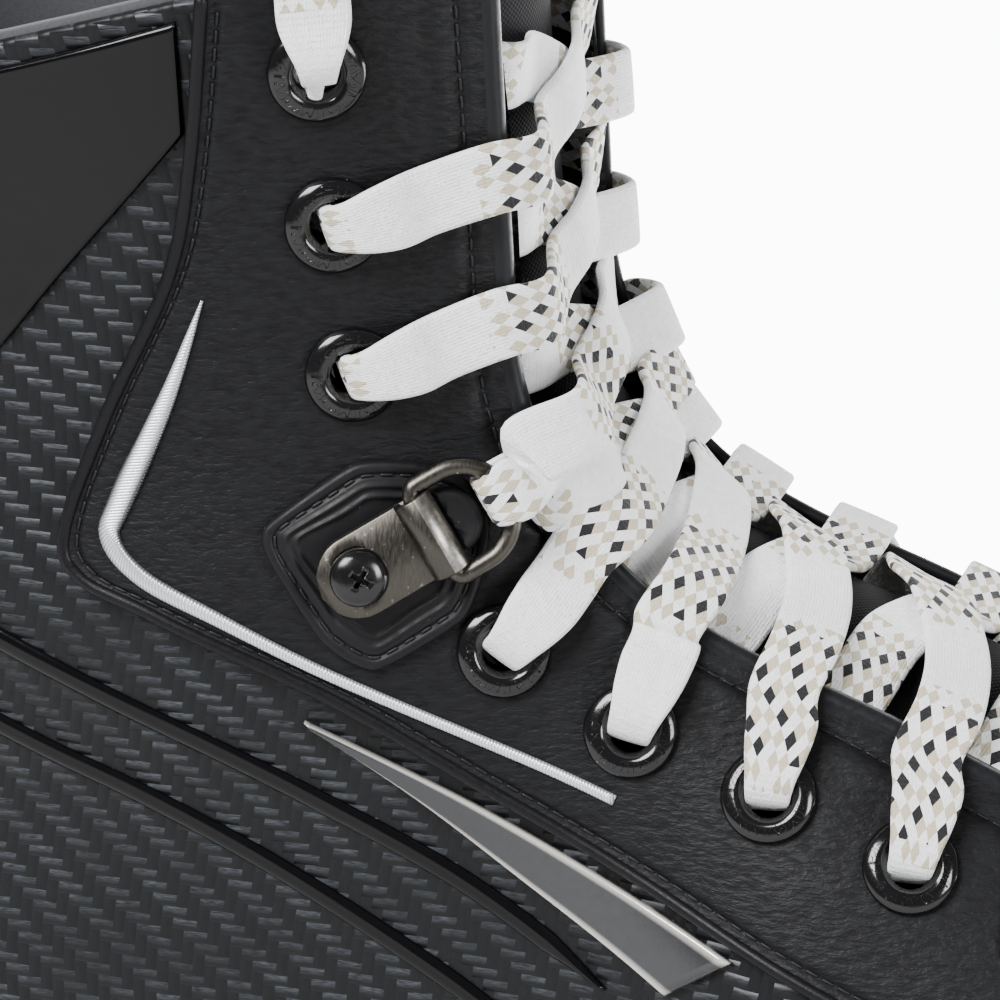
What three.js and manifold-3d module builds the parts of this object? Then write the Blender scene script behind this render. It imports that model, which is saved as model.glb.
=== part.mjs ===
// An ice-hockey skate for the right foot: a stiff carbon boot with leather facings, a flat lace
// through eyelets and a pair of D-rings, a hinged tongue top and tendon guard, and a bolted steel
// runner in a plastic holder.  Millimetres, +X to the toe, +Y to the inner (medial) side, +Z up,
// with the origin on the ice under the middle of the skate.
import * as THREE from "three";
import { mergeVertices } from "three/addons/utils/BufferGeometryUtils.js";
import Module from "manifold-3d";

const wasm = await Module();
wasm.setup();

// ---------------------------------------------------------------- driving dimensions

const BOOT_LENGTH = 283; // back of the heel to the tip of the toe cap
const CUFF_HEIGHT = 169; // sole plane to the front corner of the collar
const SOLE_HEIGHT = 64; // ice to the sole plane
const GUARD_HEIGHT = 36; // tendon guard and tongue top above the collar
const GAP = 0.3; // between pieces that touch

const THROAT_HALF_WIDTH = 23; // middle of the tongue to a facing's front edge
const SIDE_WRAP = 46; // width over which a side curves in to the throat
const HEEL_RADIUS = 36;

const SHELL_WALL = 1.8;
const LINER_WALL = 2.5;
const LINER_GAP = 1.8; // room for glue and for the flats of the two layers
const LINER_SETBACK = 31; // the lining ends this far behind the facing's edge
const FACING_WALL = 1.2;
const FACING_GAP = 0.8; // the facing bridges the shell's flats
const ANKLE_PAD_THICKNESS = 3;
const TOE_WALL = 3;
const TOE_PROUD = 1.5; // toe cap outside the shell
const TOE_HEIGHT = 62; // top of the toe cap's rear rim above the sole plane
const TOE_LENGTH = 68;
const OUTSOLE_THICKNESS = 3.4;
const BOARD_THICKNESS = 3;
const FOOTBED_THICKNESS = 3.6;

const TONGUE_HALF_WIDTH = 21.5;
const TONGUE_DEPTH = 26; // from the ridge of the tongue to the ends of its wings
const TONGUE_THICKNESS = 8;
const TONGUE_EDGE = 3;
const GUARD_WALL = 2;

const EYELET_PITCH = 18.2;
const EYELETS_BELOW_RING = 6;
const EYELETS_ABOVE_RING = 3;
const RING_TO_EYELET_BELOW = 17.4;
const RING_TO_EYELET_ABOVE = 21;
const EYELET_RADIUS = 5.7;
const EYELET_BORE = 2.6;
const EYELET_BARREL = 3.1;
const EYELET_FLANGE = 1.3;
const EYELET_TAIL_RADIUS = 4.5;
const HOLE_CLEARANCE = 0.35;

const LACE_WIDTH = 8.4;
const LACE_THICKNESS = 1.3;
const LACE_HOLE_WIDTH = 4.1; // the lace is gathered where it goes through an eyelet
const LACE_HOLE_THICKNESS = 1.8;
const AGLET_LENGTH = 22;
const AGLET_RADIUS = 1.9;

const RING_WIRE = 1.1; // radius of the D-ring's wire
const RING_HALF_BAR = 5.9;
const RING_DEPTH = 10; // bar to the middle of the bow
const CLIP_WIDTH = 10;
const CLIP_THICKNESS = 1.8;
const CLIP_EYE_WALL = 0.9;
const CLIP_REACH = 9.8; // bar to screw
const PAD_THICKNESS = 1.2;
const BUMPER_RADIUS = 4.2;
const BUMPER_HEIGHT = 2;
const BUMPER_FRONT = 6.4; // from the bar to the bumper's far side
const SCREW_HEAD_RADIUS = 3.5;
const SCREW_HEAD_HEIGHT = 2;
const SCREW_RADIUS = 1.9;
const NUT_RADIUS = 4.5;
const NUT_THICKNESS = 1.8;

const RUNNER_THICKNESS = 3;
const RUNNER_LENGTH = 286;
const RUNNER_TOP = 33; // top edge of the steel above the ice, between its two tabs
const ROCKER_RADIUS = 2740;
const ROCKER_FLAT = 14; // half length of the straight middle of the edge
const TAB_HEIGHT = 11;
const TAB_WIDTH = 26;
const HOLDER_BOTTOM = 22;
const HOLDER_RAIL_TOP = 35;
const HOLDER_RAIL_HALF_WIDTH = 6;
const HOLDER_FOOT_THICKNESS = 3.4;
const HOLDER_LENGTH = 272;
const HEEL_PILLAR_X = -92;
const TOE_PILLAR_X = 58;
const PILLAR_WIDTH = 40; // length of a pillar along the skate where it is narrowest
const BOLT_RADIUS = 2.5;
const BOLT_HEAD_RADIUS = 4.6;
const BOLT_HEAD_HEIGHT = 2.6;

// ---------------------------------------------------------------- the last: patterns and surface

// The patterns are drawn for this size, in millimetres from the sole plane, and graded to the
// length and height asked for.
const PATTERN_LENGTH = 283;
const PATTERN_CUFF = 169;
const along = (x) => (x * BOOT_LENGTH) / PATTERN_LENGTH;
const up = (z) => SOLE_HEIGHT + (z * CUFF_HEIGHT) / PATTERN_CUFF;
const graded = (points) => points.map(([x, z]) => [along(x), up(z)]);

// A smooth function through knots, with a flat continuation past both ends.
function smoothLine(knots) {
  const slope = knots.map((k, i) => {
    const a = knots[Math.max(i - 1, 0)];
    const b = knots[Math.min(i + 1, knots.length - 1)];
    return (b[1] - a[1]) / (b[0] - a[0]);
  });
  return (at) => {
    const x = Math.min(Math.max(at, knots[0][0]), knots.at(-1)[0]);
    let i = 0;
    while (i < knots.length - 2 && x > knots[i + 1][0]) i++;
    const h = knots[i + 1][0] - knots[i][0];
    const t = (x - knots[i][0]) / h;
    return (
      (2 * t ** 3 - 3 * t ** 2 + 1) * knots[i][1] +
      (t ** 3 - 2 * t ** 2 + t) * h * slope[i] +
      (3 * t ** 2 - 2 * t ** 3) * knots[i + 1][1] +
      (t ** 3 - t ** 2) * h * slope[i + 1]
    );
  };
}

const byHeight = (knots) => smoothLine(knots.map(([z, v]) => [up(z), v]));
const byLength = (knots) => smoothLine(knots.map(([x, v]) => [along(x), v]));

// Height above the sole to the place of the boot's back line.
const HEEL_LINE = [[0, -130], [21, -136], [41, -137], [71, -131], [101, -125], [131, -126], [161, -132],
  [186, -138], [206, -144]];
const heelLine = smoothLine(HEEL_LINE.map(([z, x]) => [up(z), along(x)]));
const cuffHalfWidth = byHeight([[0, 31], [26, 34], [56, 34.5], [86, 37.5], [111, 37], [141, 37], [171, 41],
  [206, 44]]);
const foreHalfWidth = {
  lateral: byLength([[-40, 38], [-10, 40], [20, 45], [55, 51.2], [90, 50.2]]),
  medial: byLength([[-40, 37], [-10, 39], [20, 43], [55, 48.5], [75, 51], [90, 50]]),
};

// A curve in the side view, walked by its length.
function sideCurve(points, stepsPerSpan = 8) {
  const spline = new THREE.SplineCurve(points.map(([x, z]) => new THREE.Vector2(x, z)));
  const path = spline.getPoints((points.length - 1) * stepsPerSpan);
  const run = [0];
  path.slice(1).forEach((p, i) => run.push(run[i] + p.distanceTo(path[i])));
  const spanOf = (s) => {
    let i = 0;
    while (i < path.length - 2 && s > run[i + 1]) i++;
    return i;
  };
  const at = (s) => {
    const i = spanOf(s);
    return path[i].clone().lerp(path[i + 1], (s - run[i]) / (run[i + 1] - run[i]));
  };
  const direction = (s) => at(s + 0.5).sub(at(s - 0.5)).normalize();
  const nearest = (x, z) => {
    const p = new THREE.Vector2(x, z);
    let best = { distance: Infinity, s: 0 };
    for (let i = 0; i < path.length - 1; i++) {
      const leg = path[i + 1].clone().sub(path[i]);
      const t = Math.min(Math.max(p.clone().sub(path[i]).dot(leg) / leg.lengthSq(), 0), 1);
      const distance = p.distanceTo(path[i].clone().addScaledVector(leg, t));
      if (distance < best.distance) best = { distance, s: run[i] + t * leg.length() };
    }
    return best;
  };
  return { at, direction, nearest, length: run.at(-1) };
}

// The front edge of a facing, from the toe cap up to the collar and straight on past it.
const FACING_EDGE = [[90, 50], [60, 64], [30, 77.5], [9, 85.5], [-4, 93], [-13, 104], [-18.5, 118], [-20, 136],
  [-22, 172]];
const facingEdge = sideCurve(graded([...FACING_EDGE, [-25, 232]]));

const smoothStep = (a, b, x) => {
  const t = Math.min(Math.max((x - a) / (b - a), 0), 1);
  return t * t * (3 - 2 * t);
};
const hump = (x, z, [cx, cz], [rx, rz]) =>
  Math.exp(-(((x - along(cx)) / along(rx)) ** 2) - ((z - up(cz)) / (up(rz) - up(0))) ** 2);

// Half-width of the boot away from the throat and the heel's rounding.
const ANKLE_BONE = 2;
const SOLE_TUCK = 0.1;
const TUCK_HEIGHT = 26; // the sides curve in to the sole below this height
const soleTuck = (z) => 1 - SOLE_TUCK * Math.min(Math.max(1 - (z - SOLE_HEIGHT) / TUCK_HEIGHT, 0), 1) ** 2;
function fullHalfWidth(side, x, z) {
  const fore = foreHalfWidth[side](x) * soleTuck(z);
  const k = smoothStep(along(-25), along(25), x);
  const bone = hump(x, z, [-62, 86], [20, 16]);
  const hollow = hump(x, z, [-104, 104], [14, 28]);
  return cuffHalfWidth(z) * (1 - k) + fore * k + ANKLE_BONE * (bone - hollow);
}
function halfWidth(side, x, z) {
  const t = Math.min(facingEdge.nearest(x, z).distance / SIDE_WRAP, 1);
  const w = THROAT_HALF_WIDTH + (fullHalfWidth(side, x, z) - THROAT_HALF_WIDTH) * (1 - (1 - t) ** 2);
  const h = Math.min(Math.max((x - heelLine(z)) / HEEL_RADIUS, 0), 1);
  return w * Math.sqrt(1 - (1 - h) ** 2);
}

// The skin is walked by its girth: nothing at the back of the heel, more towards the toe, and
// negative on the outer (lateral) side.
const HEEL_GIRTH = (HEEL_RADIUS * Math.PI) / 2;
const SIDES = ["lateral", "medial"];
const sign = { lateral: -1, medial: 1 };
const sideOf = (girth) => (girth < 0 ? "lateral" : "medial");
const setback = (girth) =>
  girth < HEEL_GIRTH ? HEEL_RADIUS * (1 - Math.cos(girth / HEEL_RADIUS)) : HEEL_RADIUS + girth - HEEL_GIRTH;
const girthAt = (x, z) => {
  const back = Math.max(x - heelLine(z), 0);
  return back < HEEL_RADIUS
    ? HEEL_RADIUS * Math.acos(1 - back / HEEL_RADIUS)
    : HEEL_GIRTH + back - HEEL_RADIUS;
};
function skinPoint(girth, z) {
  const x = heelLine(z) + setback(Math.abs(girth));
  return new THREE.Vector3(x, Math.sign(girth) * halfWidth(sideOf(girth), x, z), z);
}
function skinNormal(girth, z) {
  const step = 0.5;
  const around = skinPoint(girth + step, z).sub(skinPoint(girth - step, z));
  const upward = skinPoint(girth, z + step).sub(skinPoint(girth, z - step));
  return upward.cross(around).normalize();
}
const offSkin = (girth, z, offset) => skinPoint(girth, z).addScaledVector(skinNormal(girth, z), offset);
const onSide = (side, x, z, offset) => offSkin(sign[side] * girthAt(x, z), z, offset);
const sideNormal = (side, x, z) => skinNormal(sign[side] * girthAt(x, z), z);

// ---------------------------------------------------------------- making solids

const lerp = (a, b, t) => a + (b - a) * t;
const degrees = (a) => (a * Math.PI) / 180;
const range = (n, of) => Array.from({ length: n }, (_, i) => of(i));

// A closed body from points and triangles: points that meet are joined, triangles with no area
// are dropped, and the faces are turned outward.
function closedBody(points, triangles) {
  const loose = new THREE.BufferGeometry();
  loose.setAttribute("position", new THREE.Float32BufferAttribute(points.flatMap((p) => p.toArray()), 3));
  loose.setIndex(triangles.flat());
  const body = mergeVertices(loose, 1e-3);
  const kept = [];
  const index = body.index.array;
  let volume = 0;
  const [a, b, c] = [0, 1, 2].map(() => new THREE.Vector3());
  for (let i = 0; i < index.length; i += 3) {
    const [p, q, r] = index.slice(i, i + 3);
    if (p === q || q === r || r === p) continue;
    kept.push([p, q, r]);
    a.fromBufferAttribute(body.attributes.position, p);
    b.fromBufferAttribute(body.attributes.position, q);
    c.fromBufferAttribute(body.attributes.position, r);
    volume += a.dot(b.cross(c));
  }
  body.setIndex((volume < 0 ? kept.map((t) => t.reverse()) : kept).flat());
  return body;
}

// A slab between two faces that share one grid; closed = true joins its last column to its first.
function slab(columns, rows, outer, inner, closed = false) {
  const points = [];
  const faces = [];
  const across = closed ? columns : columns + 1;
  for (const face of [outer, inner])
    for (let i = 0; i < across; i++)
      for (let j = 0; j <= rows; j++) points.push(face(i / columns, j / rows));
  const at = (layer, i, j) => (layer * across + (i % across)) * (rows + 1) + j;
  const quad = (p, q, r, s) => faces.push([p, q, r], [p, r, s]);
  for (let i = 0; i < columns; i++) {
    for (let j = 0; j < rows; j++) {
      quad(at(0, i, j), at(0, i + 1, j), at(0, i + 1, j + 1), at(0, i, j + 1));
      quad(at(1, i, j), at(1, i, j + 1), at(1, i + 1, j + 1), at(1, i + 1, j));
    }
    quad(at(0, i + 1, 0), at(0, i, 0), at(1, i, 0), at(1, i + 1, 0));
    quad(at(0, i, rows), at(0, i + 1, rows), at(1, i + 1, rows), at(1, i, rows));
  }
  if (!closed)
    for (let j = 0; j < rows; j++) {
      quad(at(0, 0, j), at(0, 0, j + 1), at(1, 0, j + 1), at(1, 0, j));
      quad(at(0, columns, j + 1), at(0, columns, j), at(1, columns, j), at(1, columns, j + 1));
    }
  return closedBody(points, faces);
}

// A slab with a round or star-shaped outline: v runs from its middle to its edge.
const disc = (columns, rows, outer, inner) => slab(columns, rows, outer, inner, true);

// A round solid along an axis, from [radius, height] pairs that start and end on the axis or meet.
function turned(profile, sides, origin, axis) {
  const body = new THREE.LatheGeometry(profile.map(([r, h]) => new THREE.Vector2(r, h)), sides);
  body.applyQuaternion(new THREE.Quaternion().setFromUnitVectors(new THREE.Vector3(0, 1, 0), axis));
  body.translate(...origin.toArray());
  return tidy(body);
}
// A cylinder between two points.
function rod(from, to, radius, sides = 12) {
  const axis = to.clone().sub(from);
  const length = axis.length();
  return turned([[0, 0], [radius, 0], [radius, length], [0, length]], sides, from, axis.normalize());
}
// Outlines drawn in the side view and in the plan, made thick.
function sidePlate(shape, lowY, highY, curveSegments = 6) {
  const body = new THREE.ExtrudeGeometry(shape, { depth: highY - lowY, bevelEnabled: false, curveSegments });
  return tidy(body.rotateX(Math.PI / 2).translate(0, highY, 0));
}
function planPlate(shape, lowZ, highZ) {
  const body = new THREE.ExtrudeGeometry(shape, { depth: highZ - lowZ, bevelEnabled: false });
  return tidy(body.translate(0, 0, lowZ));
}
function tidy(geometry) {
  const flat = geometry.index ? geometry.toNonIndexed() : geometry;
  const position = flat.getAttribute("position");
  const points = range(position.count, (i) => new THREE.Vector3().fromBufferAttribute(position, i));
  return closedBody(points, range(position.count / 3, (i) => [3 * i, 3 * i + 1, 3 * i + 2]));
}
// An outline with every corner rounded by the same radius where its sides allow it.
function roundedOutline(corners, radius) {
  const shape = new THREE.Shape();
  corners.forEach((corner, i) => {
    const here = new THREE.Vector2(...corner);
    const before = new THREE.Vector2(...corners.at(i - 1)).sub(here);
    const after = new THREE.Vector2(...corners[(i + 1) % corners.length]).sub(here);
    const r = Math.min(radius, before.length() / 2.2, after.length() / 2.2);
    const start = here.clone().addScaledVector(before.normalize(), r);
    const end = here.clone().addScaledVector(after.normalize(), r);
    if (i) shape.lineTo(start.x, start.y);
    else shape.moveTo(start.x, start.y);
    shape.quadraticCurveTo(here.x, here.y, end.x, end.y);
  });
  shape.closePath();
  return shape;
}

const solid = (geometry) =>
  new wasm.Manifold(
    new wasm.Mesh({
      numProp: 3,
      vertProperties: new Float32Array(geometry.attributes.position.array),
      triVerts: new Uint32Array(geometry.index.array),
    }),
  );
function cut(geometry, ...tools) {
  let made = solid(geometry);
  for (const tool of tools) made = made.subtract(solid(tool));
  return fromSolid(made);
}
const common = (a, b) => fromSolid(solid(a).intersect(solid(b)));
const joined = (a, b) => fromSolid(solid(a).add(solid(b)));
function fromSolid(made) {
  const mesh = made.getMesh();
  const body = new THREE.BufferGeometry();
  body.setAttribute("position", new THREE.BufferAttribute(new Float32Array(mesh.vertProperties), 3));
  body.setIndex(new THREE.BufferAttribute(new Uint32Array(mesh.triVerts), 1));
  return body;
}

// ---------------------------------------------------------------- finishes

const finish = (color, roughness, metalness = 0) => ({ color, roughness, metalness });
const LEATHER = finish(0x17171a, 0.55);
const CARBON = finish(0x2a2d30, 0.4);
const LINING = finish(0x3a3b3e, 0.95);
const FOAM = finish(0x26272a, 0.95);
const RUBBER = finish(0x141416, 0.6);
const BLACK_GLOSS = finish(0x0a0a0b, 0.18);
const NICKEL = finish(0x5b5750, 0.38, 1);
const STEEL = finish(0xb9bcc0, 0.22, 1);
const WHITE_PLASTIC = finish(0xe9eaec, 0.45);
const COTTON = finish(0xeeeeea, 0.95);
const SILVER = finish(0xc9ccd1, 0.35, 0.4);
const FELT = finish(0x1f2023, 0.98);

const skate = new THREE.Group();
function piece(name, geometry, look, hinge) {
  const mesh = new THREE.Mesh(geometry, new THREE.MeshStandardMaterial(look));
  mesh.name = name;
  if (hinge) mesh.userData.hinge = hinge;
  skate.add(mesh);
}

// ---------------------------------------------------------------- the eyelet rows

// The row of holes runs beside the facing's edge, nearer to it at the toe than at the top.
const EYELET_ROW = [[72, 45.8], [48, 57.3], [31, 64.6], [14.2, 71], [-2.5, 77], [-18.4, 86.2], [-28.6, 100.6],
  [-36.6, 119.9], [-38.6, 138.4], [-40, 158], [-40.6, 168]];
const eyeletRow = sideCurve(graded(EYELET_ROW));
const RING_PLACE = [-27.8, 100.6]; // middle of a D-ring's bar
const ringRow = eyeletRow.nearest(along(RING_PLACE[0]), up(RING_PLACE[1])).s;
const rowPlace = (row) => {
  if (row === 0) return ringRow;
  return row > 0
    ? ringRow + RING_TO_EYELET_ABOVE + (row - 1) * EYELET_PITCH
    : ringRow - RING_TO_EYELET_BELOW + (row + 1) * EYELET_PITCH;
};
const holePlace = (row) => eyeletRow.at(rowPlace(row));
const EYELET_ROWS = range(EYELETS_BELOW_RING + EYELETS_ABOVE_RING, (i) =>
  i < EYELETS_BELOW_RING ? i - EYELETS_BELOW_RING : i - EYELETS_BELOW_RING + 1,
);

const LINER_OUTSIDE = -SHELL_WALL - LINER_GAP;
const LINER_INSIDE = LINER_OUTSIDE - LINER_WALL;
const FACING_OUTSIDE = FACING_GAP + FACING_WALL;
const DRILL_REACH = 12;
const DRILL_SIDES = 8;

// ---------------------------------------------------------------- shell and liner

// The top border runs from the heel along the collar to its front corner and then down the
// facing's edge to the toe cap.
const TOE_JOIN_X = along(78);
const THROAT_TOE_Z = up(55.6); // height of the facing's edge at the toe cap
const collarCorner = facingEdge.nearest(along(-22), up(168.6));
const toeEnd = facingEdge.nearest(TOE_JOIN_X - GAP, THROAT_TOE_Z);
const collarRise = smoothLine([[0, 148], [0.2, 149], [0.45, 154], [0.7, 162], [0.88, 167.5], [1, 168.6]]);
const COLLAR_SHARE = 0.42; // share of the columns that ends on the collar
const cornerPoint = facingEdge.at(collarCorner.s);
const cornerGirth = girthAt(cornerPoint.x, cornerPoint.y);
function topBorder(a, setIn) {
  if (a < COLLAR_SHARE) {
    const f = a / COLLAR_SHARE;
    const shorter = 1 - setIn / cornerGirth;
    return [f * shorter * cornerGirth, up(collarRise(f * shorter))];
  }
  const s = lerp(collarCorner.s, toeEnd.s, (a - COLLAR_SHARE) / (1 - COLLAR_SHARE));
  const p = facingEdge.at(s);
  const direction = facingEdge.direction(s);
  const [x, z] = [p.x - Math.abs(direction.y) * setIn, p.y - Math.max(-direction.x, 0) * setIn];
  return [girthAt(Math.min(x, TOE_JOIN_X - GAP), z), z];
}
const BOTTOM_Z = SOLE_HEIGHT + GAP;
const toeGirth = girthAt(TOE_JOIN_X - GAP, BOTTOM_Z);
function quarterPoint(u, v, offset, setIn = 0) {
  const a = Math.abs(2 * u - 1);
  const [topGirth, topZ] = topBorder(a, setIn);
  const rise = 1 - (1 - v) ** ROW_BIAS;
  const girth = lerp(toeGirth * a, topGirth, rise) * Math.sign(2 * u - 1);
  return offSkin(girth, lerp(BOTTOM_Z, topZ, rise), offset);
}
const QUARTER_COLUMNS = 48;
const ROW_BIAS = 1.5; // the rows are closer together near the top, where the sides curve in
const quarterLayer = (outside, inside, rows, setIn) =>
  slab(QUARTER_COLUMNS, rows,
    (u, v) => quarterPoint(u, v, outside, setIn),
    (u, v) => quarterPoint(u, v, inside, setIn));

// Straight drills through every layer, at the eyelets and at the D-ring screws.
function drill(side, place, radius) {
  const middle = onSide(side, place.x, place.y, 0);
  const axis = sideNormal(side, place.x, place.y);
  return rod(middle.clone().addScaledVector(axis, -DRILL_REACH),
    middle.clone().addScaledVector(axis, DRILL_REACH), radius, DRILL_SIDES);
}
const ringFrames = Object.fromEntries(SIDES.map((side) => [side, ringFrame(side)]));
function ringFrame(side) {
  const [x, z] = [along(RING_PLACE[0]), up(RING_PLACE[1])];
  const normal = sideNormal(side, x, z);
  // the bar lies across the row; the clip points back and down from it
  const barEnd = onSide(side, x - 3.2, z + 5.4, 0);
  const bar = barEnd.sub(onSide(side, x + 3.2, z - 5.4, 0));
  bar.addScaledVector(normal, -bar.dot(normal)).normalize();
  const forward = bar.clone().cross(normal).multiplyScalar(side === "lateral" ? 1 : -1);
  return { side, origin: onSide(side, x, z, 0), normal, bar, forward: forward.normalize() };
}
function inFrame(frame, forward, bar, height) {
  return frame.origin.clone().addScaledVector(frame.forward, forward).addScaledVector(frame.bar, bar)
    .addScaledVector(frame.normal, height);
}
const screwDrill = (frame, radius) =>
  rod(inFrame(frame, -CLIP_REACH, 0, -DRILL_REACH), inFrame(frame, -CLIP_REACH, 0, DRILL_REACH), radius,
    DRILL_SIDES);
const holesOn = (side) => [
  ...EYELET_ROWS.map((row) => drill(side, holePlace(row), EYELET_BARREL + HOLE_CLEARANCE)),
  screwDrill(ringFrames[side], SCREW_RADIUS + HOLE_CLEARANCE),
];
const holes = { lateral: holesOn("lateral"), medial: holesOn("medial") };

const shell = quarterLayer(0, -SHELL_WALL, 10, 0);
piece("quarter_shell", cut(shell, ...holes.lateral, ...holes.medial), CARBON);
piece("boot_liner", quarterLayer(LINER_OUTSIDE, LINER_INSIDE, 7, LINER_SETBACK), LINING);

// ---------------------------------------------------------------- facings, stripes and inlays

// The rear border of a facing, where it meets the bare carbon, from the toe cap to the collar.
const WELT = [[76, 28], [40, 43.5], [10, 55.5], [-18, 68.3], [-39.7, 80.7], [-58.9, 89.5], [-68.6, 93.4],
  [-70.6, 99], [-65.2, 113.9], [-57.6, 130.7], [-54.6, 145], [-52, 166]];
const welt = sideCurve(graded(WELT));
const facingStart = facingEdge.nearest(TOE_JOIN_X - 2 * GAP, THROAT_TOE_Z).s;
const facingEnd = collarCorner.s - 0.4;
const FACING_COLUMNS = 24;
const FACING_ROWS = 5;
function facingPoint(side, u, v, offset) {
  const front = facingEdge.at(lerp(facingStart, facingEnd, u));
  const rear = welt.at(u * welt.length);
  return onSide(side, lerp(front.x, rear.x, v), lerp(front.y, rear.y, v), offset);
}
// The silver stripe beside the welt: a tapered ribbon that comes to a point at its top.
const STRIPE = [[-3.7, 69.3], [-21.3, 76.1], [-37.5, 83.2], [-50.9, 90], [-60.2, 94.6], [-64, 98.9],
  [-62.8, 103.4], [-57.1, 116.8], [-53, 128.5]];
const stripe = sideCurve(graded(STRIPE));
const stripeWidth = smoothLine([[0, 1.2], [0.45, 1.4], [0.64, 2.2], [0.72, 2.9], [0.78, 2.9], [0.92, 1.4],
  [1, 0.3]]);
const STRIPE_THICKNESS = 0.6;
function stripePoint(side, u, v, offset) {
  const s = u * stripe.length;
  const here = stripe.at(s);
  const direction = stripe.direction(s);
  const shift = (v - 0.5) * stripeWidth(u);
  return onSide(side, here.x - direction.y * shift, here.y + direction.x * shift, offset);
}
// A dark chrome wedge on the carbon below the stripe.
const INLAY_TOP = [[-41.4, 80.2], [-26, 73], [-8, 64.6], [12, 56.2]];
const INLAY_BOTTOM = [[-41, 79.6], [-29.7, 72.1], [-14, 61], [4, 50.5]];
const inlayTop = sideCurve(graded(INLAY_TOP));
const inlayBottom = sideCurve(graded(INLAY_BOTTOM));
const INLAY_CLEAR = 3.4; // below the welt
function inlayPoint(side, u, v, offset) {
  const a = inlayTop.at(u * inlayTop.length);
  const b = inlayBottom.at(u * inlayBottom.length);
  return onSide(side, lerp(a.x, b.x, v), lerp(a.y, b.y, v) - INLAY_CLEAR, offset);
}
for (const side of SIDES) {
  const leather = slab(FACING_COLUMNS, FACING_ROWS,
    (u, v) => facingPoint(side, u, v, FACING_OUTSIDE),
    (u, v) => facingPoint(side, u, v, FACING_GAP));
  piece(`facing_${side}`, cut(leather, ...holes[side]), LEATHER);
  piece(`stripe_${side}`, slab(16, 1,
    (u, v) => stripePoint(side, u, v, FACING_OUTSIDE + GAP + STRIPE_THICKNESS),
    (u, v) => stripePoint(side, u, v, FACING_OUTSIDE + GAP)), SILVER);
  piece(`side_inlay_${side}`, slab(8, 1,
    (u, v) => inlayPoint(side, u, v, FACING_GAP + STRIPE_THICKNESS),
    (u, v) => inlayPoint(side, u, v, FACING_GAP)), SILVER);
}

// ---------------------------------------------------------------- eyelets

const TAIL_TOP = -SHELL_WALL - 0.6; // the rolled end stays clear of the shell's curve
const TAIL_THICKNESS = 0.8;
const FLANGE_BOTTOM = FACING_OUTSIDE + GAP;
const FLANGE_TOP = FLANGE_BOTTOM + EYELET_FLANGE;
const eyeletProfile = [
  [EYELET_BORE, TAIL_TOP - TAIL_THICKNESS],
  [EYELET_TAIL_RADIUS, TAIL_TOP],
  [EYELET_BARREL, TAIL_TOP],
  [EYELET_BARREL, FLANGE_BOTTOM],
  [EYELET_RADIUS, FLANGE_BOTTOM],
  [EYELET_BORE, FLANGE_TOP],
  [EYELET_BORE, TAIL_TOP - TAIL_THICKNESS],
];
for (const side of SIDES)
  EYELET_ROWS.forEach((row, i) => {
    const place = holePlace(row);
    const eyelet = turned(eyeletProfile, 10, onSide(side, place.x, place.y, 0), sideNormal(side, place.x, place.y));
    piece(`eyelet_${side}_${i + 1}`, eyelet, BLACK_GLOSS);
  });

// ---------------------------------------------------------------- D-rings, clips, pads and screws

const PAD_BOTTOM = FACING_OUTSIDE + GAP;
const PAD_TOP = PAD_BOTTOM + PAD_THICKNESS;
const CLIP_BOTTOM = PAD_TOP + 2 * GAP;
const CLIP_BORE = RING_WIRE + HOLE_CLEARANCE;
const CLIP_EYE = CLIP_BORE + CLIP_EYE_WALL;
const BAR_HEIGHT = CLIP_BOTTOM + CLIP_EYE;
const HEAD_BOTTOM = CLIP_BOTTOM + CLIP_THICKNESS + GAP;
// Outline of the stitched pad, as [towards the ring, along the bar] from the middle of the bar.
const PAD_OUTLINE = [[2.6, -8.4], [6.4, -3], [6.6, 3], [2.8, 8], [-3.5, 11.5], [-16.6, 10], [-18.4, 6],
  [-17.8, -5.4], [-13.8, -11.4], [-2, -11.6]];
const PAD_MIDDLE = [-5.8, 0];

function padBody(frame) {
  const outline = new THREE.CatmullRomCurve3(
    PAD_OUTLINE.map(([f, b]) => new THREE.Vector3(f, b, 0)), true, "catmullrom", 0.3);
  const layer = (height) => (u, v) => {
    const edge = outline.getPoint(u);
    const at = inFrame(frame, lerp(PAD_MIDDLE[0], edge.x, v), lerp(PAD_MIDDLE[1], edge.y, v), 0);
    return onSide(frame.side, at.x, at.z, height);
  };
  const sheet = disc(18, 2, layer(PAD_TOP), layer(PAD_BOTTOM));
  const middle = BUMPER_FRONT - BUMPER_RADIUS;
  const post = rod(inFrame(frame, middle, 0, PAD_BOTTOM + 0.5),
    inFrame(frame, middle, 0, PAD_TOP + BUMPER_HEIGHT), BUMPER_RADIUS, 12);
  const behindEye = blockInFrame(frame, [-10, CLIP_EYE + 0.4], [-10, 10], [PAD_TOP - 0.2, 20]);
  return cut(joined(sheet, cut(post, behindEye)), screwDrill(frame, SCREW_RADIUS + HOLE_CLEARANCE));
}
function blockInFrame(frame, [f0, f1], [b0, b1], [h0, h1]) {
  const block = new THREE.BoxGeometry(f1 - f0, b1 - b0, h1 - h0);
  block.translate((f0 + f1) / 2, (b0 + b1) / 2, (h0 + h1) / 2);
  return toFrame(frame, tidy(block));
}
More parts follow.
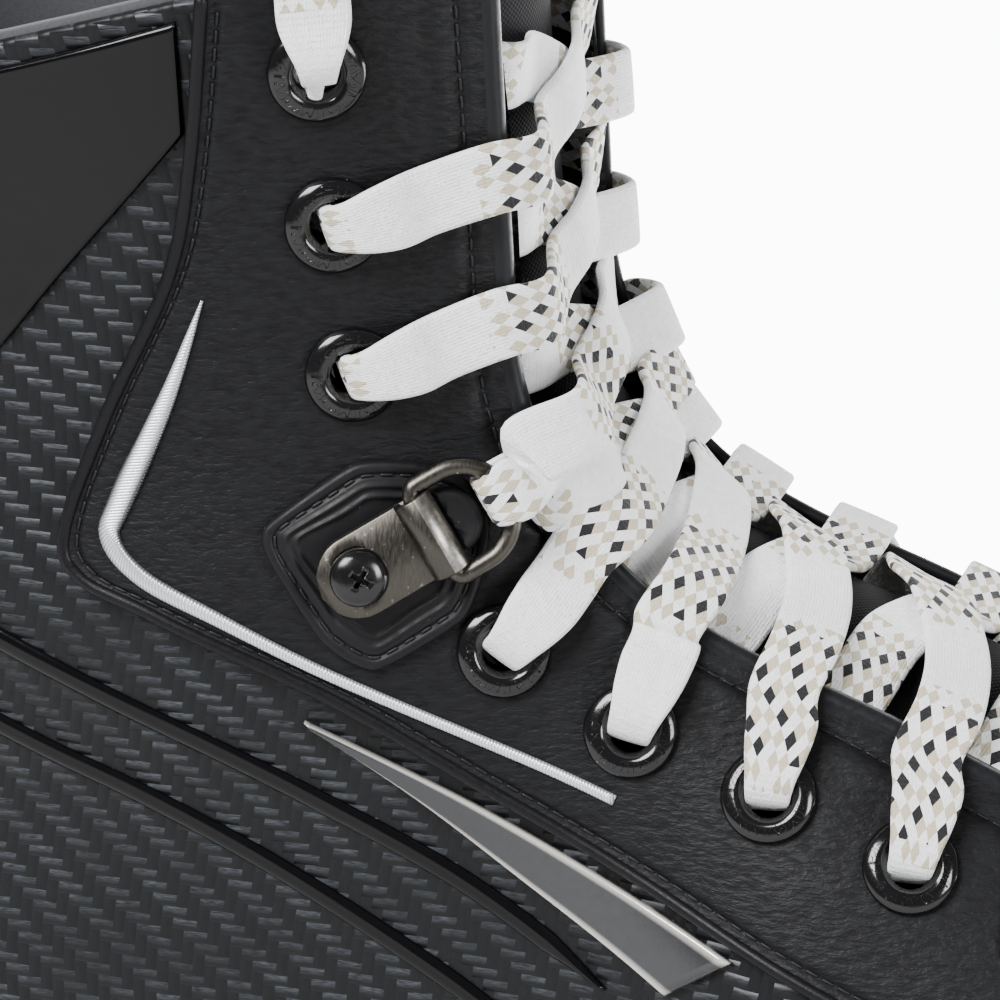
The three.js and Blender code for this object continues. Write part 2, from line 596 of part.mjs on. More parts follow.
// Turns a body drawn as (towards the ring, along the bar, height) into a D-ring's frame.
function toFrame(frame, geometry) {
  const matrix = new THREE.Matrix4().makeBasis(frame.forward, frame.bar, frame.normal);
  return tidy(geometry.applyMatrix4(matrix.setPosition(frame.origin)));
}
function clipBody(frame) {
  // the folded strip seen along the bar: a flat tail and an eye round the bar
  const strip = new THREE.Shape();
  const tail = -CLIP_REACH - CLIP_WIDTH / 2 - 0.4;
  const top = CLIP_BOTTOM + CLIP_THICKNESS;
  const turn = Math.asin((top - BAR_HEIGHT) / CLIP_EYE);
  strip.moveTo(tail, CLIP_BOTTOM);
  strip.lineTo(0, CLIP_BOTTOM);
  strip.absarc(0, BAR_HEIGHT, CLIP_EYE, -Math.PI / 2, Math.PI - turn, false);
  strip.lineTo(tail, top);
  strip.closePath();
  const bore = new THREE.Path().absarc(0, BAR_HEIGHT, CLIP_BORE, 0, Math.PI * 2, true);
  strip.holes.push(bore);
  const folded = new THREE.ExtrudeGeometry(strip, { depth: CLIP_WIDTH, bevelEnabled: false, curveSegments: 5 });
  folded.rotateX(Math.PI / 2).translate(0, CLIP_WIDTH / 2, 0);
  // its plan is round about the screw
  const plan = new THREE.Shape();
  plan.moveTo(CLIP_EYE + 1, -CLIP_WIDTH / 2 + 0.01);
  plan.lineTo(CLIP_EYE + 1, CLIP_WIDTH / 2 - 0.01);
  plan.lineTo(-CLIP_REACH, CLIP_WIDTH / 2 - 0.01);
  plan.absarc(-CLIP_REACH, 0, CLIP_WIDTH / 2 - 0.01, Math.PI / 2, (3 * Math.PI) / 2, false);
  plan.closePath();
  const outline = new THREE.ExtrudeGeometry(plan, { depth: 20, bevelEnabled: false, curveSegments: 5 });
  const shaped = common(tidy(folded), tidy(outline));
  return cut(toFrame(frame, shaped), screwDrill(frame, SCREW_RADIUS + HOLE_CLEARANCE));
}
// A wire bent into a closed loop, all in one plane.
function wireLoop(points, radius, across, sides) {
  const ring = (u, v) => {
    const i = Math.round(u * points.length) % points.length;
    const tangent = points[(i + 1) % points.length].clone().sub(points.at(i - 1)).normalize();
    const outward = tangent.clone().cross(across);
    const angle = v * 2 * Math.PI;
    return points[i].clone().addScaledVector(outward, radius * Math.cos(angle))
      .addScaledVector(across, radius * Math.sin(angle));
  };
  const faces = [];
  const vertices = points.flatMap((_, i) => range(sides, (j) => ring(i / points.length, j / sides)));
  points.forEach((_, i) => {
    const next = (i + 1) % points.length;
    for (let j = 0; j < sides; j++) {
      const [a, b] = [i * sides + j, i * sides + ((j + 1) % sides)];
      const [c, d] = [next * sides + j, next * sides + ((j + 1) % sides)];
      faces.push([a, c, d], [a, d, b]);
    }
  });
  return closedBody(vertices, faces);
}
// A D seen flat: a straight bar and a bow that is nearly a half round.
function ringBody(frame) {
  const straight = RING_DEPTH - RING_HALF_BAR;
  const path = new THREE.CatmullRomCurve3([
    ...range(5, (i) => new THREE.Vector3(0, lerp(-0.78, 0.78, i / 4) * RING_HALF_BAR, 0)),
    ...range(9, (i) => {
      const angle = degrees(lerp(100, -100, i / 8));
      return new THREE.Vector3(straight + RING_HALF_BAR * Math.cos(angle) * (Math.cos(angle) < 0 ? 4 : 1),
        RING_HALF_BAR * Math.sin(angle) * 1.02, 0);
    }),
  ], true, "centripetal");
  const loop = path.getSpacedPoints(24).slice(0, 24)
    .map((p) => inFrame(frame, Math.max(p.x, 0), p.y, BAR_HEIGHT));
  return wireLoop(loop, RING_WIRE, frame.normal, 6);
}
const NUT_CLEAR = 1.4; // the nut is flat, and the shell behind it is curved
const NUT_TOP = -SHELL_WALL - NUT_CLEAR;
const SCREW_END = NUT_TOP - NUT_THICKNESS;
for (const side of SIDES) {
  const frame = ringFrames[side];
  const screwAt = inFrame(frame, -CLIP_REACH, 0, 0);
  piece(`d_ring_pad_${side}`, padBody(frame), RUBBER);
  piece(`d_ring_clip_${side}`, clipBody(frame), NICKEL);
  const axis = side === "lateral" ? frame.bar.clone().negate() : frame.bar.clone();
  piece(`d_ring_${side}`, ringBody(frame), NICKEL, { at: inFrame(frame, 0, 0, BAR_HEIGHT), axis });
  piece(`d_ring_screw_${side}`, turned([
    [0, SCREW_END], [SCREW_RADIUS, SCREW_END], [SCREW_RADIUS, HEAD_BOTTOM],
    [SCREW_HEAD_RADIUS, HEAD_BOTTOM], [SCREW_HEAD_RADIUS * 0.7, HEAD_BOTTOM + SCREW_HEAD_HEIGHT],
    [0, HEAD_BOTTOM + SCREW_HEAD_HEIGHT],
  ], 10, screwAt, frame.normal), BLACK_GLOSS);
  piece(`d_ring_nut_${side}`, turned([
    [SCREW_RADIUS + HOLE_CLEARANCE, SCREW_END], [NUT_RADIUS, SCREW_END], [NUT_RADIUS, NUT_TOP],
    [SCREW_RADIUS + HOLE_CLEARANCE, NUT_TOP], [SCREW_RADIUS + HOLE_CLEARANCE, SCREW_END],
  ], 10, screwAt, frame.normal), STEEL);
}

// ---------------------------------------------------------------- ankle pads

const ANKLE_PAD = { middle: [-80, 88], radii: [20, 25] };
const padEdge = 0.5;
for (const side of SIDES) {
  const layer = (thickness) => (u, v) => {
    const angle = u * 2 * Math.PI;
    const x = ANKLE_PAD.middle[0] + ANKLE_PAD.radii[0] * v * Math.cos(angle);
    const z = ANKLE_PAD.middle[1] + ANKLE_PAD.radii[1] * v * Math.sin(angle);
    return onSide(side, along(x), up(z), LINER_INSIDE - LINER_GAP - thickness(v));
  };
  piece(`ankle_pad_${side}`, disc(16, 2, layer(() => 0),
    layer((v) => padEdge + (ANKLE_PAD_THICKNESS - padEdge) * (1 - v * v))), FOAM);
}

// ---------------------------------------------------------------- tongue

// The ridge of the tongue in the side view, from under the toe cap to the top of the tongue.
const RIDGE = [[96, 47], [80, 56.6], [61.8, 67], [31.6, 80.9], [10.6, 88.7], [-1.9, 95.8], [-10, 105.6],
  [-16.8, 118.4], [-19.8, 136], [-21.3, 155], [-22, 171]];
const ridge = sideCurve(graded(RIDGE));
// A point over (or, with a lift below nothing, in) the tongue: angle 0 is the ridge.
function overTongue(curve, s, angle, lift) {
  const here = curve.at(s);
  const direction = curve.direction(s);
  const inward = new THREE.Vector2(-direction.y, direction.x);
  if (inward.x > 0) inward.negate();
  const depth = TONGUE_DEPTH - (TONGUE_DEPTH + lift) * Math.cos(angle);
  return new THREE.Vector3(here.x + inward.x * depth, (TONGUE_HALF_WIDTH + lift) * Math.sin(angle),
    here.y + inward.y * depth);
}
const tongueAngle = (v) => degrees(lerp(-88, 88, v));
const tongueThickness = (v) => lerp(TONGUE_EDGE, TONGUE_THICKNESS, Math.cos(tongueAngle(v)) ** 2);
const tongueBody = (curve, from, to, rows) =>
  slab(rows, 10,
    (u, v) => overTongue(curve, lerp(from, to, u), tongueAngle(v), 0),
    (u, v) => overTongue(curve, lerp(from, to, u), tongueAngle(v), -tongueThickness(v)));
piece("tongue_lower", tongueBody(ridge, 1, ridge.length, 14), FELT);

// The top of the tongue bends forward about a crease just above the collar.
const TONGUE_TOP_LINE = [[0, 0], [0.4, 0.5], [3.4, 1]]; // forward lean at shares of its height
const ridgeTop = ridge.at(ridge.length);
const topLine = sideCurve(TONGUE_TOP_LINE.map(([lean, share]) =>
  [ridgeTop.x + lean, ridgeTop.y + share * GUARD_HEIGHT]));
const CREASE = 0.6;
piece("tongue_top", tongueBody(topLine, CREASE, topLine.length, 4), FELT,
  { at: new THREE.Vector3(ridgeTop.x, 0, ridgeTop.y + CREASE), axis: new THREE.Vector3(0, 1, 0) });

// ---------------------------------------------------------------- tendon guard

const GUARD_BASE_BOTTOM = 112; // lower edge of the guard above the sole plane
const guardBottom = up(GUARD_BASE_BOTTOM);
const collarBack = up(collarRise(0));
const GUARD_GIRTH = 40;
piece("tendon_guard_base", slab(10, 3,
  (u, v) => offSkin(lerp(-GUARD_GIRTH, GUARD_GIRTH, u), lerp(guardBottom, collarBack - GAP, v),
    FACING_GAP + GUARD_WALL),
  (u, v) => offSkin(lerp(-GUARD_GIRTH, GUARD_GIRTH, u), lerp(guardBottom, collarBack - GAP, v), FACING_GAP)),
LEATHER);

// The upper guard narrows to a round top and flexes backward about the collar's back edge.
const GUARD_TOP_GIRTH = 47;
const guardTopZ = collarBack + GUARD_HEIGHT + 20;
const GUARD_TAPER = 0.84; // how far the guard's sides have closed in at its top, out of 1
function guardPoint(u, v, offset, inset) {
  const w = (2 * u - 1) * (GUARD_TOP_GIRTH - inset) * Math.sqrt(1 - (GUARD_TAPER * v) ** 2.4);
  const collar = up(collarRise(Math.abs((2 * u - 1) * GUARD_TOP_GIRTH) / cornerGirth));
  return offSkin(w, lerp(collar + 2 * GAP + inset, guardTopZ - inset, v), offset);
}
const hingeBack = offSkin(0, collarBack, FACING_GAP + GUARD_WALL);
const guardOutside = FACING_GAP + GUARD_WALL;
const guardInside = -0.4;
piece("tendon_guard_top", slab(12, 5,
  (u, v) => guardPoint(u, v, guardOutside, 0),
  (u, v) => guardPoint(u, v, guardInside, 0)), LEATHER,
{ at: new THREE.Vector3(hingeBack.x, 0, collarBack), axis: new THREE.Vector3(0, -1, 0) });
const TENDON_PAD_THICKNESS = 4;
piece("tendon_pad", slab(12, 4,
  (u, v) => guardPoint(u, v, guardInside - 2 * GAP, 4),
  (u, v) => guardPoint(u, v, guardInside - 2 * GAP - TENDON_PAD_THICKNESS, 4)), FELT);

// ---------------------------------------------------------------- toe cap

// A domed cap: each section is a flattened arch, and both width and height round off at the tip.
const toeSection = (t) => ({ wide: (1 - t ** 2.6) ** (1 / 2.2), high: (1 - t ** 2.8) ** (1 / 2) });
const ARCH = 2 / 2.6;
function toePoint(u, v, inset) {
  const t = Math.sin((u * Math.PI) / 2);
  const { wide, high } = toeSection(t);
  const x = TOE_JOIN_X + t * (along(TOE_LENGTH) - inset);
  const angle = v * Math.PI;
  const side = angle < Math.PI / 2 ? "medial" : "lateral";
  const w = (fullHalfWidth(side, TOE_JOIN_X, up(40)) + TOE_PROUD - inset) * wide;
  const h = (up(TOE_HEIGHT) - up(0) - inset) * high;
  const c = Math.cos(angle);
  const rise = h * Math.sin(angle) ** ARCH;
  const y = w * Math.sign(c) * Math.abs(c) ** ARCH * soleTuck(BOTTOM_Z + rise);
  return new THREE.Vector3(x, y, BOTTOM_Z + rise);
}
piece("toe_cap", slab(8, 14, (u, v) => toePoint(u, v, 0), (u, v) => toePoint(u, v, TOE_WALL)), RUBBER);

// ---------------------------------------------------------------- sole, board and footbed

// Plan outline of the boot at a height, grown or shrunk by an amount.
function soleOutline(z, grow) {
  const toeX = TOE_JOIN_X;
  const half = (side) => {
    const toe = range(8, (i) => {
      const t = Math.sin(((8 - i) / 8) * (Math.PI / 2));
      const w = (fullHalfWidth(side, toeX, z) + TOE_PROUD + grow) * toeSection(t).wide;
      return [toeX + t * (along(TOE_LENGTH) + grow), w];
    });
    const sides = range(8, (i) => {
      const x = lerp(toeX, heelLine(z) + HEEL_RADIUS, (i + 0.5) / 8);
      return [x, halfWidth(side, x, z) + grow];
    });
    const heel = range(6, (i) => {
      const p = offSkin(sign[side] * HEEL_GIRTH * (1 - i / 6), z, grow);
      return [p.x, Math.abs(p.y)];
    });
    return [...toe, ...sides, ...heel];
  };
  const tip = [toeX + along(TOE_LENGTH) + grow, 0];
  const back = [heelLine(z) - grow, 0];
  const right = half("medial").slice(1);
  const left = half("lateral").slice(1).map(([x, y]) => [x, -y]).reverse();
  const shape = new THREE.Shape();
  [tip, ...right, back, ...left].forEach(([x, y], i) => (i ? shape.lineTo(x, y) : shape.moveTo(x, y)));
  shape.closePath();
  return shape;
}
const outsoleBottom = SOLE_HEIGHT - OUTSOLE_THICKNESS;
piece("outsole", planPlate(soleOutline(BOTTOM_Z, 0), outsoleBottom, SOLE_HEIGHT), BLACK_GLOSS);
const boardTop = BOTTOM_Z + BOARD_THICKNESS;
const INSIDE_CLEAR = 2;
const inside = LINER_INSIDE - INSIDE_CLEAR;
piece("insole_board", planPlate(soleOutline(BOTTOM_Z, inside), BOTTOM_Z, boardTop), FOAM);
piece("footbed", planPlate(soleOutline(BOTTOM_Z, inside), boardTop + GAP, boardTop + GAP + FOOTBED_THICKNESS),
  LINING);

// ---------------------------------------------------------------- blade holder, runner and bolts

const halfHolder = HOLDER_LENGTH / 2;
const footBottom = outsoleBottom - GAP - HOLDER_FOOT_THICKNESS;
const footTop = outsoleBottom - GAP;
const halfPillar = PILLAR_WIDTH / 2;
const FOOT_FLARE = 17; // each foot is longer than its pillar by this much at each end
const railMiddle = (HOLDER_BOTTOM + HOLDER_RAIL_TOP) / 2;
const holderSide = roundedOutline([
  [-halfHolder, railMiddle], [-halfHolder + 6, HOLDER_BOTTOM], [halfHolder - 6, HOLDER_BOTTOM],
  [halfHolder, railMiddle],
  [TOE_PILLAR_X + halfPillar + 24, HOLDER_RAIL_TOP], [TOE_PILLAR_X + halfPillar, HOLDER_RAIL_TOP + 10],
  [TOE_PILLAR_X + halfPillar + FOOT_FLARE + 16, footBottom],
  [TOE_PILLAR_X + halfPillar + FOOT_FLARE + 20, footTop],
  [TOE_PILLAR_X - halfPillar - FOOT_FLARE - 8, footTop],
  [TOE_PILLAR_X - halfPillar - FOOT_FLARE - 4, footBottom],
  [TOE_PILLAR_X - halfPillar, HOLDER_RAIL_TOP + 10], [TOE_PILLAR_X - halfPillar - 14, HOLDER_RAIL_TOP],
  [HEEL_PILLAR_X + halfPillar + 14, HOLDER_RAIL_TOP], [HEEL_PILLAR_X + halfPillar, HOLDER_RAIL_TOP + 10],
  [HEEL_PILLAR_X + halfPillar + FOOT_FLARE, footBottom], [HEEL_PILLAR_X + halfPillar + FOOT_FLARE + 4, footTop],
  [HEEL_PILLAR_X - halfPillar - FOOT_FLARE, footTop], [HEEL_PILLAR_X - halfPillar - FOOT_FLARE + 2, footBottom],
  [HEEL_PILLAR_X - halfPillar, HOLDER_RAIL_TOP + 10], [HEEL_PILLAR_X - halfPillar - 12, HOLDER_RAIL_TOP],
], 6);
// the front view: a thin rail, a waist and a foot as wide as the sole
const waist = (HOLDER_RAIL_TOP + footBottom) / 2;
const holderFront = (s) => {
  const half = [[HOLDER_RAIL_HALF_WIDTH, HOLDER_BOTTOM], [HOLDER_RAIL_HALF_WIDTH, HOLDER_RAIL_TOP],
    [HOLDER_RAIL_HALF_WIDTH + 2.5, waist], [22, footBottom - 2], [60, footBottom + 0.6], [60, footTop + 1]];
  const outline = [...half, ...half.map(([y, z]) => [-y, z]).reverse()];
  outline.forEach(([y, z], i) => (i ? s.lineTo(y, z) : s.moveTo(y, z)));
  s.closePath();
  return s;
};
const frontBody = tidy(
  new THREE.ExtrudeGeometry(holderFront(new THREE.Shape()), { depth: HOLDER_LENGTH + 20, bevelEnabled: false })
    .rotateX(Math.PI / 2).rotateZ(Math.PI / 2).translate(-HOLDER_LENGTH / 2 - 10, 0, 0));
const FOOT_INSET = -4;
const planBody = planPlate(soleOutline(BOTTOM_Z, FOOT_INSET), 0, footTop + 2);
const BLADE_CLEAR = 0.35;
const slotHalf = RUNNER_THICKNESS / 2 + BLADE_CLEAR;
const slotTop = RUNNER_TOP + BLADE_CLEAR;
const box = (x0, x1, y0, y1, z0, z1) =>
  tidy(new THREE.BoxGeometry(x1 - x0, y1 - y0, z1 - z0)
    .translate((x0 + x1) / 2, (y0 + y1) / 2, (z0 + z1) / 2));
const pillars = [["rear", HEEL_PILLAR_X], ["front", TOE_PILLAR_X]];
const halfTab = TAB_WIDTH / 2;
const boltZ = RUNNER_TOP + TAB_HEIGHT / 2 + 1;
const boltHalf = HOLDER_RAIL_HALF_WIDTH + 3.4;
const tabSlots = pillars.map(([, x]) => box(x - halfTab - BLADE_CLEAR, x + halfTab + BLADE_CLEAR,
  -slotHalf, slotHalf, slotTop - 2, RUNNER_TOP + TAB_HEIGHT + BLADE_CLEAR));
const across = (x, z, radius, low, high) =>
  rod(new THREE.Vector3(x, low, z), new THREE.Vector3(x, high, z), radius, 12);
const boltHoles = pillars.map(([, x]) => across(x, boltZ, BOLT_RADIUS + BLADE_CLEAR, -40, 40));
const BOSS = BOLT_HEAD_RADIUS + 0.6;
const seats = pillars.flatMap(([, x]) => [
  across(x, boltZ, BOSS, -60, -boltHalf), across(x, boltZ, BOSS, boltHalf, 60)]);
const railSlot = box(-HOLDER_LENGTH, HOLDER_LENGTH, -slotHalf, slotHalf, 0, slotTop);
const holderBlank = common(common(sidePlate(holderSide, -70, 70, 3), frontBody), planBody);
piece("blade_holder", cut(holderBlank, railSlot, ...tabSlots, ...boltHoles, ...seats), WHITE_PLASTIC);

// The runner: a flat strip with a rockered edge, turned up at both ends, and two tabs.
const halfRunner = RUNNER_LENGTH / 2;
const rocker = (x) => Math.max(Math.abs(x) - ROCKER_FLAT, 0) ** 2 / (2 * ROCKER_RADIUS);
const END_RISE = 9;
const runnerOutline = new THREE.Shape();
const edgeLine = range(15, (i) => lerp(-halfRunner + 12, halfRunner - 12, i / 14));
edgeLine.splice(7, 1, -ROCKER_FLAT, ROCKER_FLAT);
edgeLine.forEach((x, i) => (i ? runnerOutline.lineTo(x, rocker(x)) : runnerOutline.moveTo(x, rocker(x))));
runnerOutline.quadraticCurveTo(halfRunner - 1, rocker(halfRunner), halfRunner, rocker(halfRunner) + END_RISE);
runnerOutline.lineTo(halfRunner - 3, HOLDER_BOTTOM - 1);
const inRail = halfHolder - 12;
runnerOutline.lineTo(inRail, RUNNER_TOP - 6);
runnerOutline.lineTo(inRail - 12, RUNNER_TOP);
for (const [, x] of [...pillars].reverse()) {
  runnerOutline.lineTo(x + halfTab, RUNNER_TOP);
  runnerOutline.lineTo(x + halfTab - 2, RUNNER_TOP + TAB_HEIGHT);
  runnerOutline.lineTo(x - halfTab + 2, RUNNER_TOP + TAB_HEIGHT);
  runnerOutline.lineTo(x - halfTab, RUNNER_TOP);
}
runnerOutline.lineTo(-inRail + 12, RUNNER_TOP);
runnerOutline.lineTo(-inRail, RUNNER_TOP - 6);
runnerOutline.lineTo(-halfRunner + 3, HOLDER_BOTTOM - 1);
runnerOutline.lineTo(-halfRunner, rocker(halfRunner) + END_RISE);
runnerOutline.quadraticCurveTo(-halfRunner + 1, rocker(halfRunner), -halfRunner + 12, rocker(halfRunner - 12));
const halfSteel = RUNNER_THICKNESS / 2;
piece("runner", cut(sidePlate(runnerOutline, -halfSteel, halfSteel), ...boltHoles), STEEL);

for (const [where, x] of pillars) {
  const lateral = new THREE.Vector3(x, -boltHalf - GAP, boltZ);
  piece(`runner_bolt_${where}`, turned([
    [0, -BOLT_HEAD_HEIGHT], [BOLT_HEAD_RADIUS * 0.8, -BOLT_HEAD_HEIGHT],
    [BOLT_HEAD_RADIUS, 0], [BOLT_RADIUS, 0], [BOLT_RADIUS, 2 * boltHalf + 3], [0, 2 * boltHalf + 3],
  ], 12, lateral, new THREE.Vector3(0, 1, 0)), STEEL);
  piece(`runner_nut_${where}`, turned([
    [BOLT_RADIUS + BLADE_CLEAR, 0], [BOLT_HEAD_RADIUS, 0], [BOLT_HEAD_RADIUS, 3], [BOLT_RADIUS + BLADE_CLEAR, 3],
    [BOLT_RADIUS + BLADE_CLEAR, 0],
  ], 12, new THREE.Vector3(x, boltHalf + GAP, boltZ), new THREE.Vector3(0, 1, 0)), STEEL);
}

// ---------------------------------------------------------------- lace

const halfLace = LACE_THICKNESS / 2;
const ON_FACING = FACING_OUTSIDE + GAP + halfLace;
const UNDER_SHELL = -SHELL_WALL - 2 * GAP - halfLace;
const LAYER = LACE_THICKNESS + GAP; // a strand that lies on another
const SLOT_WIDTH = 4.6; // the lace is gathered between the bumper and the bow
const RING_LIFT = 0.5; // the boot bends most beside the D-rings
const LEAN = 0.22; // share of a pitch by which a strand leans before it reaches the facing's edge
const station = (point, facing, width = LACE_WIDTH, thickness = LACE_THICKNESS) =>
  ({ point, facing, width, thickness });

// Where a strand meets the facing's edge: beside its eyelet, moved towards the row that it goes to.
const edgePlace = (row) => {
  const hole = holePlace(row);
  return facingEdge.nearest(hole.x, hole.y).s;
};
const edgeBetween = (row, next, share) => lerp(edgePlace(row), edgePlace(next), share);
const towards = (a, b, distance) => a.clone().add(b.clone().sub(a).setLength(distance));

// Just past the facing's edge, on the way to the tongue.
const EDGE_LIFT = 1.9;
const EDGE_OVERHANG = 4.2;
function pastEdge(side, edge, lift) {
  const { s } = facingEdge.nearest(edge.x, edge.y);
  const direction = facingEdge.direction(s);
  const out = new THREE.Vector3(Math.abs(direction.y), 0, Math.abs(direction.x));
  const point = new THREE.Vector3(edge.x, sign[side] * (THROAT_HALF_WIDTH - 0.7), edge.y)
    .addScaledVector(out, EDGE_OVERHANG + lift);
  return station(point, out.add(new THREE.Vector3(0, sign[side] * 0.5, 0)));
}

// Out of an eyelet and across the facing to its edge.
function outOfHole(side, row, next) {
  const hole = holePlace(row);
  const edge = facingEdge.at(edgeBetween(row, next, LEAN));
  const reach = hole.distanceTo(edge);
  const at = (distance, offset, ...size) => {
    const p = towards(hole, edge, distance);
    return station(onSide(side, p.x, p.y, offset), sideNormal(side, p.x, p.y), ...size);
  };
  const axis = sideNormal(side, hole.x, hole.y);
  const outward = onSide(side, edge.x, edge.y, 0).sub(onSide(side, hole.x, hole.y, 0)).normalize();
  const inHole = (height, ...size) =>
    station(onSide(side, hole.x, hole.y, 0).addScaledVector(axis, height), outward, ...size);
  return [
    inHole(TAIL_TOP - TAIL_THICKNESS, LACE_HOLE_WIDTH, LACE_HOLE_THICKNESS),
    inHole(FLANGE_TOP, LACE_HOLE_WIDTH, LACE_HOLE_THICKNESS),
    at(1.7, FLANGE_TOP + 1.5, LACE_HOLE_WIDTH + 1, LACE_HOLE_THICKNESS - 0.2),
    at(4, FLANGE_TOP + 1.7, LACE_WIDTH - 1.4),
    at(6.6, FLANGE_TOP + 1.2),
    ...(reach > 13 ? [at(10, ON_FACING + 0.2)] : []),
    at(reach, ON_FACING + EDGE_LIFT),
    pastEdge(side, edge, 0),
  ];
}
// From the facing's edge under it to an eyelet, up to the mouth of its hole.
function intoHole(side, row, from) {
  const hole = holePlace(row);
  const edge = facingEdge.at(edgeBetween(row, from, LEAN));
  const at = (distance, offset, ...size) => {
    const p = towards(hole, edge, distance);
    return station(onSide(side, p.x, p.y, offset), sideNormal(side, p.x, p.y), ...size);
  };
  const belowTail = TAIL_TOP - TAIL_THICKNESS - GAP - halfLace;
  const reach = hole.distanceTo(edge);
  return [
    at(reach, UNDER_SHELL - 0.2),
    at(7.5, belowTail),
    at(4, belowTail - 0.6, LACE_WIDTH - 2),
    at(1.4, belowTail - 0.5, LACE_HOLE_WIDTH + 0.6, LACE_HOLE_THICKNESS - 0.2),
  ];
}
// Over the tongue from one side to the other; the strand from the lateral side lies on top.
const OVER_ANGLES = [-20, -7, 7, 20];
function overRidge(fromSide, row, next, lift) {
  const place = (r) => {
    const e = facingEdge.at(edgePlace(r));
    return ridge.nearest(e.x, e.y).s;
  };
  return OVER_ANGLES.map((a, i) => {
    const share = lerp(LEAN + 0.08, 1 - LEAN - 0.08, i / (OVER_ANGLES.length - 1));
    const s = lerp(place(row), place(next), share);
    const angle = degrees(a) * -sign[fromSide];
    const p = overTongue(ridge, s, angle, lift);
    return station(p, p.clone().sub(overTongue(ridge, s, angle, lift - 1)));
  });
}
const LOWER_LIFT = GAP + halfLace + 0.65;
const crossing = (side, row, next) =>
  overRidge(side, row, next, side === "lateral" ? LOWER_LIFT + LAYER : LOWER_LIFT);
const other = { lateral: "medial", medial: "lateral" };

// Through a D-ring: in under its bow, up beside the bumper and back over the bow.
function throughRing(side, from, next) {
  const frame = ringFrames[side];
  const lowEdge = facingEdge.at(edgeBetween(0, from, LEAN));
  const highEdge = facingEdge.at(edgeBetween(0, next, LEAN));
  const onEdge = (edge, lift) => station(onSide(side, edge.x, edge.y, ON_FACING + EDGE_LIFT + lift),
    sideNormal(side, edge.x, edge.y));
  const local = (forward, height, facing, width = 6.2) => {
    const level = inFrame(frame, forward, 0, 0);
    const base = onSide(side, level.x, level.z, 0);
    const drop = base.clone().sub(frame.origin).dot(frame.normal);
    return station(inFrame(frame, forward, 0, drop + height), facing, width);
  };
  const bow = RING_DEPTH;
  const slot = (BUMPER_FRONT + bow - RING_WIRE) / 2;
  const fwd = frame.forward;
  const out = frame.normal;
  const over = BAR_HEIGHT + RING_WIRE + GAP + halfLace;
  const flat = (forward, height, facing, width) =>
    station(inFrame(frame, forward, 0, height), facing, width);
  return [
    pastEdge(side, lowEdge, RING_LIFT),
    onEdge(lowEdge, RING_LIFT),
    local(bow + 3.2, ON_FACING + 0.05, out, 7),
    local(bow, ON_FACING + 0.05, out),
    flat(slot, ON_FACING + 0.9, fwd.clone().add(out), SLOT_WIDTH + 0.6),
    flat(slot, BAR_HEIGHT, fwd, SLOT_WIDTH),
    flat(slot + 0.1, over - 0.4, fwd.clone().sub(out), SLOT_WIDTH + 0.4),
    flat(bow, over + 0.25, out, 6.8),
    flat(bow + 2, over - 0.7, out, 7.4),
    local(bow + 4.4, ON_FACING + LAYER + 0.6, out),
    onEdge(highEdge, RING_LIFT + LAYER),
    pastEdge(side, highEdge, RING_LIFT + LAYER),
  ];
}

// One chain of strands up the boot, from an eyelet of the lowest row to the mouth of the top one.
function chain(startSide) {
  const stations = [];
  let side = startSide;
  for (let row = -EYELETS_BELOW_RING; row < EYELETS_ABOVE_RING; row++) {
    const next = row + 1;
    const far = other[side];
    if (row !== 0) stations.push(...outOfHole(side, row, next));
    stations.push(...crossing(side, row, next));
    stations.push(...(next === 0 ? throughRing(far, row, next + 1) : intoHole(far, next, row)));
    side = far;
  }
  stations.push(...outOfHole(side, EYELETS_ABOVE_RING, EYELETS_ABOVE_RING - 1).slice(0, 2));
  return stations;
}

// A flat ribbon through its stations; it may roll from one face to the other without a kink.
function ribbon(stations) {
  const points = [];
  const faces = [];
  let previous = null;
  stations.forEach(({ point, facing, width, thickness }, i) => {
    const before = stations[Math.max(i - 1, 0)].point;
    const after = stations[Math.min(i + 1, stations.length - 1)].point;
    const tangent = after.clone().sub(before).normalize();
    const across = facing.clone().cross(tangent).normalize();
    if (previous && across.dot(previous) < 0) across.negate();
    previous = across;
    const up = tangent.clone().cross(across);
    for (const [a, b] of [[-1, -1], [1, -1], [1, 1], [-1, 1]])
      points.push(point.clone().addScaledVector(across, (a * width) / 2)
        .addScaledVector(up, (b * thickness) / 2));
    if (!i) return;
    for (let j = 0; j < 4; j++) {
      const [p, q] = [4 * i - 4 + j, 4 * i - 4 + ((j + 1) % 4)];
      faces.push([p, p + 4, q + 4], [p, q + 4, q]);
    }
  });
  const end = points.length - 4;
  faces.push([0, 1, 2], [0, 2, 3], [end, end + 2, end + 1], [end, end + 3, end + 2]);
  return closedBody(points, faces);
}
const lowest = -EYELETS_BELOW_RING;
const barHalf = (side) => intoHole(side, lowest, lowest);
const overBar = (() => {
  const e = facingEdge.at(edgePlace(lowest));
  const s = ridge.nearest(e.x, e.y).s;
  return OVER_ANGLES.map((a) => {
    const p = overTongue(ridge, s, degrees(a), LOWER_LIFT);
    return station(p, p.clone().sub(overTongue(ridge, s, degrees(a), LOWER_LIFT - 1)));
  });
})();
const laceStations = [
  ...chain("lateral").reverse(),
  ...barHalf("lateral").reverse(),
  ...overBar,
  ...barHalf("medial"),
  ...chain("medial"),
];
piece("lace", ribbon(laceStations), COTTON);

